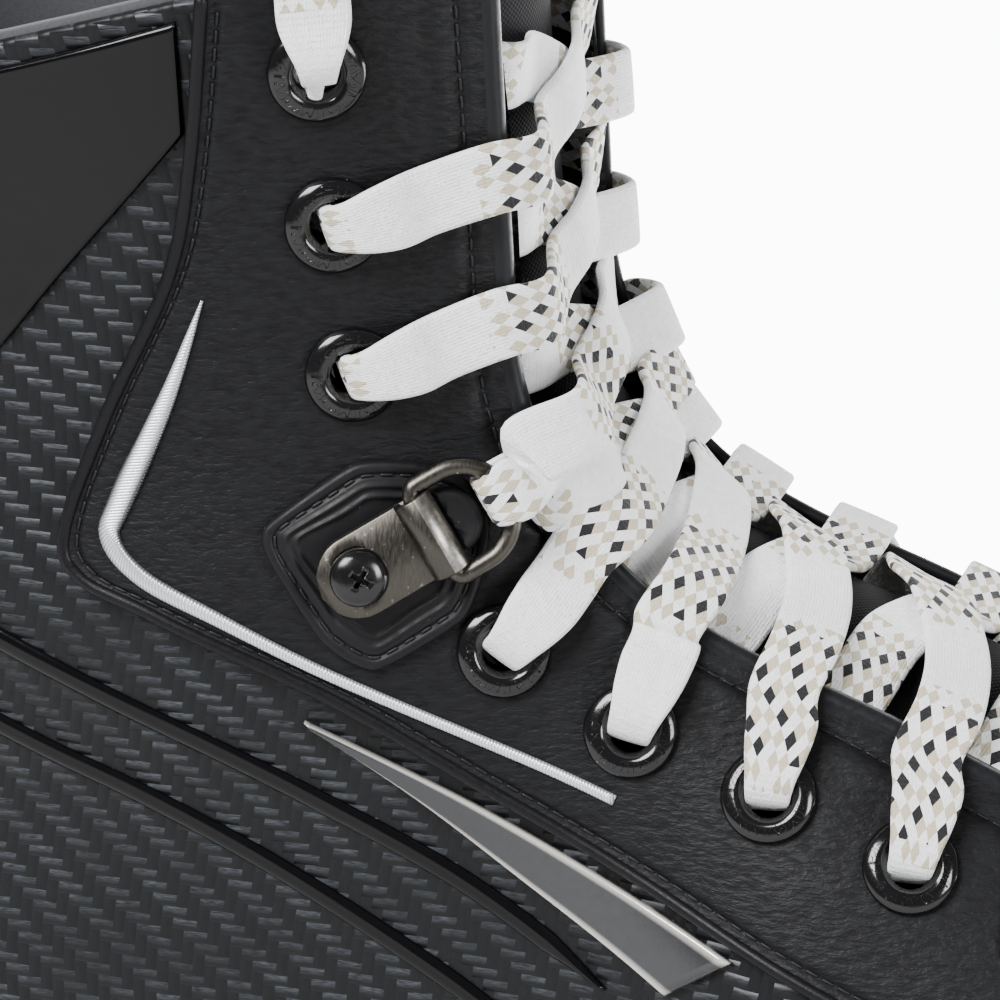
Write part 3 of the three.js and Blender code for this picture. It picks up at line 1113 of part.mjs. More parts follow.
// The ends of the lace come out of the top eyelets, go up over the collar and hang down inside
// the boot, flat against its wall; each ends in an aglet.
const TAIL_PATH = [[-41, 164], [-41.5, 158], [-42.5, 146], [-44, 134], [-46, 120], [-48, 106], [-50, 92],
  [-50.5, 78], [-50.5, 64], [-50, 52], [-49.5, 42]];
const INSIDE_WALL = LINER_INSIDE - GAP - halfLace - 1.4; // clear of the lining and of the inner strands
const TAIL_OFFSETS = [-SHELL_WALL - 3.2, INSIDE_WALL];
function tailStations(side) {
  const hole = holePlace(EYELETS_ABOVE_RING);
  const rim = new THREE.Vector2(hole.x - 0.5, up(collarRise(girthAt(hole.x, hole.y) / cornerGirth)));
  const reach = rim.distanceTo(hole);
  const axis = sideNormal(side, hole.x, hole.y);
  const at = (x, z, offset, ...size) =>
    station(onSide(side, x, z, offset), sideNormal(side, x, z), ...size);
  const outside = (distance, offset, ...size) => {
    const p = towards(hole, rim, distance);
    return at(p.x, p.y, offset, ...size);
  };
  const upward = onSide(side, rim.x, rim.y, 0).sub(onSide(side, hole.x, hole.y, 0)).normalize();
  const mouth = (height) => station(onSide(side, hole.x, hole.y, 0).addScaledVector(axis, height), upward,
    LACE_HOLE_WIDTH, LACE_HOLE_THICKNESS);
  const overRim = (offset, rise) =>
    station(onSide(side, rim.x, rim.y, offset).addScaledVector(upward, rise), upward);
  const hanging = TAIL_PATH.map(([x, z], i) =>
    at(along(x), up(z), TAIL_OFFSETS[Math.min(i, TAIL_OFFSETS.length - 1)]
      - (i === TAIL_PATH.length - 1 ? AGLET_RADIUS : 0)));
  const last = hanging.at(-1);
  last.width = 2 * AGLET_RADIUS;
  last.thickness = 2;
  return [
    mouth(FLANGE_TOP + GAP + 0.05),
    mouth(FLANGE_TOP + 1),
    outside(2, FLANGE_TOP + 2.3, LACE_HOLE_WIDTH + 1, LACE_HOLE_THICKNESS - 0.2),
    outside(4.2, FLANGE_TOP + 2, LACE_WIDTH - 1.4),
    outside(6.6, FLANGE_TOP + 1.2),
    outside(reach, ON_FACING + 1),
    overRim(0.3, 3.6),
    overRim(-SHELL_WALL - 1.6, 2.6),
    ...hanging,
  ];
}
for (const side of SIDES) {
  const stations = tailStations(side);
  const [before, end] = stations.slice(-2).map((s) => s.point);
  const down = end.clone().sub(before).normalize();
  piece(`lace_tail_${side}`, ribbon(stations), COTTON);
  piece(`aglet_${side}`, rod(end.clone().addScaledVector(down, GAP),
    end.clone().addScaledVector(down, GAP + AGLET_LENGTH), AGLET_RADIUS, 10), WHITE_PLASTIC);
}

export default skate;
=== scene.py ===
import math

import bmesh
import bpy
import numpy as np
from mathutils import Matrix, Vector


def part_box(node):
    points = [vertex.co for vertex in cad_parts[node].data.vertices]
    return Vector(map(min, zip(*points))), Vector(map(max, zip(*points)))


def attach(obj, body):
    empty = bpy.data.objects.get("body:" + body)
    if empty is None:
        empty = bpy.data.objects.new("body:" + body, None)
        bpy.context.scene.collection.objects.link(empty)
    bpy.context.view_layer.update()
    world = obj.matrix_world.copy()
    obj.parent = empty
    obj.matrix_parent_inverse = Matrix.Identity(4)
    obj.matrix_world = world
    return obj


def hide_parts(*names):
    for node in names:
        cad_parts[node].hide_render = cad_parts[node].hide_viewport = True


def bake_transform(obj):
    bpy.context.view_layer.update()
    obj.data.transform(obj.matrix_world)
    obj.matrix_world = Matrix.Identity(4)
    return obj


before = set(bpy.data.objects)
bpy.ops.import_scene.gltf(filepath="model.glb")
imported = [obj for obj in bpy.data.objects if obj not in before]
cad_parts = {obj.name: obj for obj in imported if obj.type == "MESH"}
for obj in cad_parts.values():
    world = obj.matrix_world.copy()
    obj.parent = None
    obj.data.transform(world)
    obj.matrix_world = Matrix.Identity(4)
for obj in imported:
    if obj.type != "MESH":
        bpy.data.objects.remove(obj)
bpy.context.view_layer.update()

# ---------------------------------------------------------------- camera, floor and light
# A right-foot hockey skate, seen close up from its outer side: a little ahead of square on
# and from above, with the ankle, the D-ring and the upper eyelets in the middle.

AIM = Vector((-0.018, -0.034, 0.170))
CAMERA_AZIMUTH = math.radians(15)
CAMERA_ELEVATION = math.radians(20)
CAMERA_DISTANCE = 0.42
SEEN_WIDTH = 0.1163  # at the aim point

away = Vector((math.sin(CAMERA_AZIMUTH) * math.cos(CAMERA_ELEVATION),
               -math.cos(CAMERA_AZIMUTH) * math.cos(CAMERA_ELEVATION), math.sin(CAMERA_ELEVATION)))
camera = bpy.data.objects.new("camera", bpy.data.cameras.new("camera"))
bpy.context.scene.collection.objects.link(camera)
camera.data.sensor_width = 36
camera.data.lens = camera.data.sensor_width * CAMERA_DISTANCE / SEEN_WIDTH
camera.data.clip_start = 0.01
camera.location = AIM + away * CAMERA_DISTANCE
camera.rotation_euler = away.to_track_quat("Z", "Y").to_euler()
bpy.context.scene.camera = camera


def softbox(name, place, width, height, power, target=AIM):
    light = bpy.data.lights.new(name, "AREA")
    light.shape = "RECTANGLE"
    light.size, light.size_y, light.energy = width, height, power
    lamp = bpy.data.objects.new(name, light)
    lamp.location = place
    lamp.rotation_euler = (Vector(place) - target).to_track_quat("Z", "Y").to_euler()
    bpy.context.scene.collection.objects.link(lamp)


softbox("key_light", (-0.45, -0.75, 1.00), 0.7, 0.5, 33)
softbox("side_light", (0.95, -0.55, 0.45), 0.3, 0.45, 9)
softbox("back_light", (0.10, 0.95, 0.75), 0.9, 0.6, 9)

sky = bpy.data.worlds.new("studio")
bpy.context.scene.world = sky
sky.use_nodes = True
sky.node_tree.nodes["Background"].inputs["Color"].default_value = (1, 1, 1, 1)
sky.node_tree.nodes["Background"].inputs["Strength"].default_value = 0.22

FLOOR_HALF = 3.0
floor_mesh = bpy.data.meshes.new("floor")
floor_mesh.from_pydata([(x * FLOOR_HALF, y * FLOOR_HALF, 0) for x, y in ((-1, -1), (1, -1), (1, 1), (-1, 1))],
                       [], [(0, 1, 2, 3)])
floor = bpy.data.objects.new("floor", floor_mesh)
bpy.context.scene.collection.objects.link(floor)


class Finish:
    """A material under construction: its shader, and short ways to add nodes to it."""

    def __init__(self, name, color, roughness, metallic=0.0, **settings):
        self.material = bpy.data.materials.new(name)
        self.material.use_nodes = True
        self.tree = self.material.node_tree
        self.shader = self.tree.nodes["Principled BSDF"]
        self.shader.inputs["Base Color"].default_value = (*color, 1)
        self.shader.inputs["Roughness"].default_value = roughness
        self.shader.inputs["Metallic"].default_value = metallic
        for setting, value in settings.items():
            self.shader.inputs[setting.replace("_", " ")].default_value = value

    def add(self, kind, inputs=(), **settings):
        node = self.tree.nodes.new("ShaderNode" + kind)
        for setting, value in settings.items():
            setattr(node, setting, value)
        for key, value in dict(inputs).items():
            self.feed(node.inputs[key], value)
        return node

    def feed(self, socket, value):
        if isinstance(value, bpy.types.NodeSocket):
            self.tree.links.new(value, socket)
        else:
            socket.default_value = value

    def sum(self, operation, *values):
        """One Math node; the values are numbers or sockets."""
        return self.add("Math", enumerate(values), operation=operation).outputs[0]

    def place(self):
        return self.add("TexCoord").outputs["Object"]

    def flat(self):
        """The piece's own flat pattern: (along, across)."""
        split = self.add("SeparateXYZ", {0: self.add("TexCoord").outputs["UV"]})
        return split.outputs[0], split.outputs[1]

    def noise(self, scale, detail=2.0, vector=None):
        vector = self.place() if vector is None else vector
        return self.add("TexNoise", {"Vector": vector, "Scale": scale, "Detail": detail}).outputs["Fac"]

    def ramp(self, value, low, high, out_low=0.0, out_high=1.0):
        node = self.add("MapRange", {0: value, 1: low, 2: high, 3: out_low, 4: out_high}, clamp=True)
        return node.outputs[0]

    def mix(self, share, a, b):
        """Between two colours, each three numbers or a socket."""
        node = self.add("Mix", data_type="RGBA")
        self.feed(node.inputs[0], share)
        for socket, value in ((node.inputs[6], a), (node.inputs[7], b)):
            self.feed(socket, value if isinstance(value, bpy.types.NodeSocket) else (*value, 1))
        return node.outputs[2]

    def color(self, value):
        self.feed(self.shader.inputs["Base Color"], value)

    def rough(self, value):
        self.feed(self.shader.inputs["Roughness"], value)

    def relief(self, height, depth, strength=1.0):
        """Adds a fine relief of that depth in metres on top of the ones before it."""
        inputs = {"Height": height, "Distance": depth, "Strength": strength}
        if self.shader.inputs["Normal"].links:
            inputs["Normal"] = self.shader.inputs["Normal"].links[0].from_socket
        self.feed(self.shader.inputs["Normal"], self.add("Bump", inputs).outputs[0])


# The far half of the floor glows, as a white backdrop does; the near half is plain paper.
paper = Finish("lit_floor", (0.62, 0.62, 0.62), 0.9, Emission_Color=(1, 1, 1, 1))
paper.rough(paper.ramp(paper.noise(40), 0.3, 0.7, 0.86, 0.94))
depth = paper.add("SeparateXYZ", {0: paper.place()}).outputs[1]
paper.feed(paper.shader.inputs["Emission Strength"], paper.ramp(depth, 0.08, 0.30, 0.0, 11.0))
floor.data.materials.append(paper.material)

# ---------------------------------------------------------------- the boot's shape
# Every layer of the boot is laid over one wooden last.  Its skin is walked by girth, which is
# nothing at the back of the heel and negative on the outer side, and by height above the ice.

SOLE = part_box("outsole")[1].z
THROAT = 0.023  # middle of the tongue to a facing's front edge
SIDE_WRAP = 0.046
HEEL_RADIUS = 0.036
ANKLE_BONE = 0.002
LATERAL, MEDIAL = -1, 1
SIDES = {"lateral": LATERAL, "medial": MEDIAL}


def smooth_line(knots):
    """A smooth function through (place, value) knots, level past both ends."""
    at, value = np.array(knots, float).T
    before = np.arange(-1, len(at) - 1).clip(0)
    after = np.arange(1, len(at) + 1).clip(max=len(at) - 1)
    slope = (value[after] - value[before]) / (at[after] - at[before])

    def line(x):
        x = np.clip(x, at[0], at[-1])
        i = np.clip(np.searchsorted(at, x, side="right") - 1, 0, len(at) - 2)
        h = at[i + 1] - at[i]
        t = (x - at[i]) / h
        return ((2 * t**3 - 3 * t**2 + 1) * value[i] + (t**3 - 2 * t**2 + t) * h * slope[i]
                + (3 * t**2 - 2 * t**3) * value[i + 1] + (t**3 - t**2) * h * slope[i + 1])

    return line


def above_sole(knots):
    return smooth_line([(SOLE + z, value) for z, value in knots])


heel_line = above_sole([(0, -0.130), (0.021, -0.136), (0.041, -0.137), (0.071, -0.131), (0.101, -0.125),
                        (0.131, -0.126), (0.161, -0.132), (0.186, -0.138), (0.206, -0.144)])
cuff_half_width = above_sole([(0, 0.031), (0.026, 0.034), (0.056, 0.0345), (0.086, 0.0375), (0.111, 0.037),
                              (0.141, 0.037), (0.171, 0.041), (0.206, 0.044)])
lateral_half_width = smooth_line([(-0.040, 0.038), (-0.010, 0.040), (0.020, 0.045), (0.055, 0.0512),
                                  (0.090, 0.0502)])
medial_half_width = smooth_line([(-0.040, 0.037), (-0.010, 0.039), (0.020, 0.043), (0.055, 0.0485),
                                 (0.075, 0.051), (0.090, 0.050)])


class SideLine:
    """A smooth line in the side view through (x, height above the sole) points, walked by its length."""

    def __init__(self, points, steps=8):
        p = np.array([points[0], *points, points[-1]], float) + (0, SOLE)
        t = np.linspace(0, 1, steps, endpoint=False)[:, None]
        spans = []
        for a, b, c, d in zip(p, p[1:], p[2:], p[3:]):
            m, n = (c - a) / 2, (d - b) / 2
            spans.append((2 * b - 2 * c + m + n) * t**3 + (3 * c - 3 * b - 2 * m - n) * t**2 + m * t + b)
        self.path = np.vstack([*spans, p[-1:]])
        self.run = np.concatenate([[0], np.cumsum(np.linalg.norm(np.diff(self.path, axis=0), axis=1))])
        self.length = self.run[-1]

    def at(self, s):
        return np.stack([np.interp(s, self.run, self.path[:, k]) for k in (0, 1)], -1)

    def direction(self, s):
        d = self.at(np.minimum(s + 5e-4, self.length)) - self.at(np.maximum(s - 5e-4, 0))
        return d / np.linalg.norm(d, axis=-1, keepdims=True)

    def nearest(self, x, z):
        """(distance, length walked) of the nearest point of the line."""
        x, z = np.broadcast_arrays(np.asarray(x, float), np.asarray(z, float))
        best = np.full(x.shape, np.inf)
        walked = np.zeros(x.shape)
        for a, b, run, end in zip(self.path, self.path[1:], self.run, self.run[1:]):
            leg = b - a
            t = np.clip(((x - a[0]) * leg[0] + (z - a[1]) * leg[1]) / (leg @ leg), 0, 1)
            away = np.hypot(x - a[0] - t * leg[0], z - a[1] - t * leg[1])
            closer = away < best
            best = np.where(closer, away, best)
            walked = np.where(closer, run + t * (end - run), walked)
        return best, walked


FACING_EDGE = [(0.090, 0.050), (0.060, 0.064), (0.030, 0.0775), (0.009, 0.0855), (-0.004, 0.093),
               (-0.013, 0.104), (-0.0185, 0.118), (-0.020, 0.136), (-0.022, 0.172), (-0.025, 0.232)]
facing_edge = SideLine(FACING_EDGE)


def smooth_step(low, high, x):
    t = np.clip((x - low) / (high - low), 0, 1)
    return t * t * (3 - 2 * t)


def hump(x, z, middle, radii):
    return np.exp(-(((x - middle[0]) / radii[0]) ** 2) - ((z - SOLE - middle[1]) / radii[1]) ** 2)


def full_half_width(side, x, z):
    tuck = 1 - 0.1 * np.clip(1 - (z - SOLE) / 0.026, 0, 1) ** 2
    fore = np.where(np.asarray(side) < 0, lateral_half_width(x), medial_half_width(x)) * tuck
    k = smooth_step(-0.025, 0.025, x)
    bone = hump(x, z, (-0.062, 0.086), (0.020, 0.016)) - hump(x, z, (-0.104, 0.104), (0.014, 0.028))
    return cuff_half_width(z) * (1 - k) + fore * k + ANKLE_BONE * bone


def half_width(side, x, z):
    t = np.minimum(facing_edge.nearest(x, z)[0] / SIDE_WRAP, 1)
    w = THROAT + (full_half_width(side, x, z) - THROAT) * (1 - (1 - t) ** 2)
    h = np.clip((x - heel_line(z)) / HEEL_RADIUS, 0, 1)
    return w * np.sqrt(1 - (1 - h) ** 2)


HEEL_GIRTH = HEEL_RADIUS * math.pi / 2


def girth_at(x, z):
    back = np.maximum(x - heel_line(z), 0)
    round_heel = HEEL_RADIUS * np.arccos(np.clip(1 - back / HEEL_RADIUS, 0, 1))
    return np.where(back < HEEL_RADIUS, round_heel, HEEL_GIRTH + back - HEEL_RADIUS)


def skin_point(girth, z):
    g = np.abs(girth)
    back = np.where(g < HEEL_GIRTH, HEEL_RADIUS * (1 - np.cos(g / HEEL_RADIUS)), HEEL_RADIUS + g - HEEL_GIRTH)
    x = heel_line(z) + back
    return np.stack([x, np.sign(girth) * half_width(np.sign(girth), x, z), z], -1)


def unit(v):
    return v / np.maximum(np.linalg.norm(v, axis=-1, keepdims=True), 1e-12)


def skin_normal(girth, z, step=5e-4):
    around = skin_point(girth + step, z) - skin_point(girth - step, z)
    upward = skin_point(girth, z + step) - skin_point(girth, z - step)
    return unit(np.cross(upward, around))


def off_skin(girth, z, lift=0.0):
    girth, z, lift = np.broadcast_arrays(*(np.asarray(value, float) for value in (girth, z, lift)))
    return skin_point(girth, z) + skin_normal(girth, z) * lift[..., None]


def on_side(side, x, z, lift=0.0):
    return off_skin(side * girth_at(x, z), z, lift)


def side_normal(side, x, z):
    return skin_normal(side * girth_at(x, z), np.asarray(z, float))


# ---------------------------------------------------------------- lace tails and aglets
# The ends of the flat cotton lace come out of the top eyelets, go over the collar and hang down
# inside the boot against its lining; each is closed by a shrunk plastic aglet.

LACE_WIDTH = 0.0084
LACE_THICKNESS = 0.0013
SHELL_WALL = 0.0018
FACING_TOP = 0.0020  # leather's outer face above the shell
FLANGE_TOP = 0.0036  # eyelet's rim above the shell
AGLET_RADIUS = 0.0019


def make(name, points, faces, finish, body, uv=None, slot=None, replaces=()):
    """A smooth mesh that rides on a body. uv holds each point's place on the piece's flat pattern."""
    mesh = bpy.data.meshes.new(name)
    mesh.from_pydata(np.asarray(points, float).tolist(), [], [list(map(int, f)) for f in faces])
    if uv is not None:
        layer = mesh.uv_layers.new(name="flat")
        corner = np.zeros(len(mesh.loops), int)
        mesh.loops.foreach_get("vertex_index", corner)
        layer.data.foreach_set("uv", np.asarray(uv, np.float32)[corner].ravel())
    solid = bmesh.new()
    solid.from_mesh(mesh)
    bmesh.ops.remove_doubles(solid, verts=solid.verts, dist=2e-6)
    bmesh.ops.recalc_face_normals(solid, faces=solid.faces)
    solid.to_mesh(mesh)
    solid.free()
    mesh.shade_smooth()
    piece = bpy.data.objects.new(name, mesh)
    bpy.context.scene.collection.objects.link(piece)
    piece.data.materials.append(finish.material)
    if body:
        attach(piece, body)
    if replaces:
        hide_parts(*([replaces] if isinstance(replaces, str) else replaces))
    return piece


def smooth_through(rows, step):
    """Rows of numbers joined by a smooth curve; the first three are a point, walked in equal steps."""
    p = np.asarray(rows, float)
    knots = np.concatenate([[0], np.cumsum(np.sqrt(np.linalg.norm(np.diff(p[:, :3], axis=0), axis=1)))])
    slope = np.zeros_like(p)
    h = np.diff(knots)[:, None]
    chord = np.diff(p, axis=0) / h
    slope[1:-1] = (chord[:-1] * h[1:] + chord[1:] * h[:-1]) / (h[1:] + h[:-1])
    slope[0], slope[-1] = chord[0], chord[-1]
    fine = []
    for i in range(len(p) - 1):
        t = np.linspace(0, 1, 13, endpoint=False)[:, None]
        fine.append((2 * t**3 - 3 * t**2 + 1) * p[i] + (t**3 - 2 * t**2 + t) * h[i] * slope[i]
                    + (3 * t**2 - 2 * t**3) * p[i + 1] + (t**3 - t**2) * h[i] * slope[i + 1])
    fine = np.vstack([*fine, p[-1:]])
    run = np.concatenate([[0], np.cumsum(np.linalg.norm(np.diff(fine[:, :3], axis=0), axis=1))])
    even = np.linspace(0, run[-1], max(int(run[-1] / step), 2))
    return np.stack([np.interp(even, run, fine[:, k]) for k in range(p.shape[1])], -1), even


def tube_faces(rings, count, closed=False):
    """Four-sided faces between rings of that many points each; a closed tube's last ring meets its first."""
    return [(i * count + j, i * count + (j + 1) % count, (i + 1) % rings * count + (j + 1) % count,
             (i + 1) % rings * count + j)
            for i in range(rings if closed else rings - 1) for j in range(count)]


def end_faces(rings, count):
    return [list(range(count))[::-1], list(range((rings - 1) * count, rings * count))]


BRAID_EDGE = 5  # points on each rounded edge of the lace
BRAID_FACE = 9  # points on each flat face


def braid_section():
    """The lace's outline as (across, up) shares of its half width and half thickness, and its flat place."""
    face = np.linspace(-0.86, 0.86, BRAID_FACE)
    turn = np.linspace(-math.pi / 2, math.pi / 2, BRAID_EDGE + 2)[1:-1]
    top = [(x, 1.0 - 0.12 * x * x) for x in face]
    right = [(0.86 + 0.14 * math.cos(a), -0.9 * math.sin(a)) for a in turn]
    bottom = [(x, -1.0 + 0.12 * x * x) for x in face[::-1]]
    left = [(-0.86 - 0.14 * math.cos(a), 0.9 * math.sin(a)) for a in turn]
    return np.array(top + right + bottom + left)


def ribbon(name, rows, finish, body, step=0.0007, **facts):
    """A flat braid along rows of (centre, half-width vector, half-thickness vector)."""
    fine, run = smooth_through(rows, step)
    section = braid_section()
    centre, wide, thick = fine[:, None, :3], fine[:, None, 3:6], fine[:, None, 6:9]
    points = centre + wide * section[None, :, :1] + thick * section[None, :, 1:]
    size = len(fine), len(section)
    faces = tube_faces(*size) + end_faces(*size)
    uv = np.stack(np.broadcast_arrays(run[:, None], section[None, :, 0] * LACE_WIDTH / 2), -1).reshape(-1, 2)
    return make(name, points.reshape(-1, 3), faces, finish, body, uv=uv, **facts), fine, run


def cotton_finish():
    """White cotton braid; a stretch of dark and tan tracer yarns comes back every few centimetres."""
    cotton = Finish("cotton_lace", (0.90, 0.90, 0.90), 0.92, Sheen_Weight=0.12, Sheen_Roughness=0.5)
    along, across = cotton.flat()
    stitch = 0.0026  # length of one diamond of the braid
    lean = 1.7  # run along the lace of a yarn for each step across it
    slant = cotton.sum("MULTIPLY", across, lean)
    a = cotton.sum("DIVIDE", cotton.sum("ADD", along, slant), stitch)
    b = cotton.sum("DIVIDE", cotton.sum("SUBTRACT", along, slant), stitch)
    row, line = cotton.sum("FLOOR", a), cotton.sum("FLOOR", b)

    def every(value, count, which):
        return cotton.sum("COMPARE", cotton.sum("FLOORED_MODULO", value, count), which, 0.1)

    def both(first, second):
        return cotton.sum("MULTIPLY", first, second)

    spread = 0.0385  # one plain stretch and one marked stretch
    part = cotton.sum("FRACT", cotton.sum("DIVIDE", along, spread))
    marked = both(cotton.sum("GREATER_THAN", part, 0.30), cotton.sum("LESS_THAN", part, 0.76))
    paled = both(cotton.sum("GREATER_THAN", part, 0.24), cotton.sum("LESS_THAN", part, 0.84))
    dark = both(both(every(row, 3, 0), every(line, 2, 0)), marked)
    tan = both(cotton.sum("MAXIMUM", both(every(row, 3, 1), every(line, 2, 1)),
                          both(every(row, 3, 2), every(line, 2, 0))), paled)
    fibre, lint = cotton.noise(4200, 4), cotton.noise(900, 3)
    white = cotton.mix(cotton.ramp(lint, 0.3, 0.7), (0.86, 0.865, 0.875), (0.96, 0.965, 0.975))
    with_tan = cotton.mix(cotton.sum("MULTIPLY", tan, 0.9), white, (0.52, 0.45, 0.31))
    cotton.color(cotton.mix(dark, with_tan, cotton.mix(fibre, (0.002, 0.002, 0.003), (0.010, 0.010, 0.013))))
    knit = 0.0007
    plies = [cotton.sum("SINE", cotton.sum("MULTIPLY", cotton.sum(way, along, slant), math.pi / knit))
             for way in ("ADD", "SUBTRACT")]
    cotton.relief(both(*plies), 0.00007, 0.6)
    cotton.relief(fibre, 0.00022, 0.8)
    cotton.relief(lint, 0.00030, 0.6)
    return cotton


cotton = cotton_finish()
LINER_SURFACE = -0.0061  # inner face of the lining below the skin
TAIL_LIFT = LINER_SURFACE - 0.00235
TAIL_DOWN = [(-0.041, 0.164), (-0.0415, 0.158), (-0.0425, 0.146), (-0.044, 0.134), (-0.046, 0.120),
             (-0.048, 0.106), (-0.050, 0.092), (-0.0505, 0.078), (-0.0505, 0.064), (-0.050, 0.052),
             (-0.0495, 0.042)]
COLLAR_TOP = 0.1686
collar_rise = smooth_line([(0, 0.148), (0.2, 0.149), (0.45, 0.154), (0.7, 0.162), (0.88, 0.1675),
                           (1, COLLAR_TOP)])
corner_s = float(facing_edge.nearest(-0.022, SOLE + COLLAR_TOP)[1])  # walked along the facing's edge
collar_corner = facing_edge.at(corner_s)
corner_girth = float(girth_at(*collar_corner))


def round_node(node):
    """(centre, axis, lowest, highest) of a CAD node that is round about an axis, measured along that axis."""
    co = np.unique(np.array([v.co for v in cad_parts[node].data.vertices]).round(6), axis=0)
    centre = co.mean(0)
    spread, axes = np.linalg.eigh(np.cov((co - centre).T))
    axis = axes[:, 0] if spread[1] - spread[0] > spread[2] - spread[1] else axes[:, 2]
    if axis @ (centre - np.array((centre[0], 0, centre[2]))) < 0:
        axis = -axis
    reach = (co - centre) @ axis
    return centre, axis, reach.min(), reach.max()


def strand(point, facing, ahead, width=LACE_WIDTH, thickness=LACE_THICKNESS):
    """One row of a ribbon: its centre, half its width and half its thickness."""
    across = unit(np.cross(facing, ahead))
    up = unit(np.cross(ahead, across))
    return np.concatenate([point, across * width / 2, up * thickness / 2])


def strands(stations):
    """Ribbon rows from (point, facing, width, thickness); the width never flips over."""
    points = np.array([s[0] for s in stations])
    ahead = unit(np.gradient(points, axis=0))
    rows = []
    for (point, facing, width, thickness), a in zip(stations, ahead):
        row = strand(point, facing, a, width, thickness)
        if rows and row[3:6] @ rows[-1][3:6] < 0:
            row[3:6] *= -1
            row[6:9] *= -1
        rows.append(row)
    return rows


for side_name, side in SIDES.items():
    eyelet, eyelet_axis, _, rim_end = round_node(f"eyelet_{side_name}_9")
    hole = eyelet + eyelet_axis * (rim_end - FLANGE_TOP)
    rim_z = SOLE + float(collar_rise(girth_at(hole[0], hole[2]) / corner_girth))
    rim = on_side(side, hole[0] - 0.0005, rim_z)
    upward = unit(rim - hole)
    outward = side_normal(side, hole[0], hole[2])

    def up_the_side(distance, lift):
        z = hole[2] + distance
        return on_side(side, hole[0] - 0.0005 * distance / (rim_z - hole[2]), z, lift)

    stations = [
        (hole + eyelet_axis * (FLANGE_TOP + 0.0004), upward, 0.0041, 0.0018),
        (hole + eyelet_axis * (FLANGE_TOP + 0.0010), upward, 0.0041, 0.0018),
        (up_the_side(0.0020, FLANGE_TOP + 0.0023), outward, 0.0051, 0.0016),
        (up_the_side(0.0042, FLANGE_TOP + 0.0020), outward, 0.0070, LACE_THICKNESS),
        (up_the_side(0.0066, FLANGE_TOP + 0.0012), outward, LACE_WIDTH, LACE_THICKNESS),
        (up_the_side(rim_z - hole[2], FACING_TOP + 0.0020), outward, LACE_WIDTH, LACE_THICKNESS),
        (rim + outward * 0.0003 + upward * 0.0036, upward, LACE_WIDTH, LACE_THICKNESS),
        (rim - outward * (SHELL_WALL + 0.0016) + upward * 0.0026, upward, LACE_WIDTH, LACE_THICKNESS),
    ]
    for i, (x, z) in enumerate(TAIL_DOWN):
        last = i == len(TAIL_DOWN) - 1
        lift = -SHELL_WALL - 0.0032 if i == 0 else TAIL_LIFT - (AGLET_RADIUS if last else 0)
        stations.append((on_side(side, x, SOLE + z, lift), side_normal(side, x, SOLE + z),
                         2 * AGLET_RADIUS if last else LACE_WIDTH, 0.002 if last else LACE_THICKNESS))
    tail, route, run = ribbon(f"lace_tail_{side_name}_braid", strands(stations), cotton, "boot",
                              slot="cotton", replaces=f"lace_tail_{side_name}")

    middle, axis, low, high = round_node(f"aglet_{side_name}")
    length = high - low
    top = middle + axis * (high if axis[2] > 0 else low)
    down = -axis * np.sign(axis[2])
    profile = [(0.0, 0.0), (0.86, 0.0), (1.0, 0.03), (1.0, 0.93), (0.8, 0.985), (0.0, 1.0)]
    side_on = unit(np.cross(down, (0, 1, 0)))
    third = np.cross(down, side_on)
    turns = np.linspace(0, 2 * math.pi, 24, endpoint=False)
    out = [AGLET_RADIUS * (side_on * math.cos(a) + third * math.sin(a)) for a in turns]
    points = np.array([top + down * h * length + r * spoke for r, h in profile for spoke in out])
    faces = tube_faces(len(profile), len(turns))
    film = Finish(f"aglet_film_{side_name}", (0.74, 0.75, 0.75), 0.16, Coat_Weight=0.6)
    film.rough(film.ramp(film.noise(900), 0.3, 0.7, 0.12, 0.26))
    aglet = make(f"aglet_{side_name}_tip", points, faces, film, "boot", slot="aglet_plastic",
                 replaces=f"aglet_{side_name}")

# ---------------------------------------------------------------- shell
# The stiff quarter is one carbon-fibre moulding from the heel to the toe cap, drilled for the
# eyelets and the D-ring screws; the lining and the facings are glued to it.

TOE_JOIN = 0.078
BORDER_GAP = 0.0003
COLLAR_SHARE = 0.42  # share of the shell's columns that end on the collar
toe_end = float(facing_edge.nearest(TOE_JOIN - BORDER_GAP, SOLE + 0.0556)[1])
toe_girth = float(girth_at(TOE_JOIN - BORDER_GAP, SOLE + BORDER_GAP))


def between(a, b, t):
    return a + (b - a) * t


def quarter(u, v, lift, set_in=0.0):
    """The shell's skin: u runs round the heel from toe to toe, v from the sole up to its edge."""
    a = np.abs(2 * u - 1)
    share = np.minimum(a / COLLAR_SHARE, 1) * (1 - set_in / corner_girth)
    s = between(corner_s, toe_end, np.clip((a - COLLAR_SHARE) / (1 - COLLAR_SHARE), 0, 1))
    edge, direction = facing_edge.at(s), facing_edge.direction(s)
    x = np.minimum(edge[..., 0] - np.abs(direction[..., 1]) * set_in, TOE_JOIN - BORDER_GAP)
    z = edge[..., 1] - np.maximum(-direction[..., 0], 0) * set_in
    on_collar = a < COLLAR_SHARE
    top_girth = np.where(on_collar, share * corner_girth, girth_at(x, z))
    top = np.where(on_collar, SOLE + collar_rise(share), z)
    rise = 1 - (1 - v) ** 1.5
    height = between(SOLE + BORDER_GAP, top, rise)
    upright = between(heel_line(SOLE + BORDER_GAP), heel_line(top), rise) - heel_line(height)
    near_toe = smooth_step(0.75, 1, a)  # the front edge runs straight up beside the toe cap
    girth = (between(toe_girth * a, top_girth, rise) + near_toe * upright) * np.sign(2 * u - 1)
    return off_skin(girth, height, lift), np.stack([girth, height], -1)


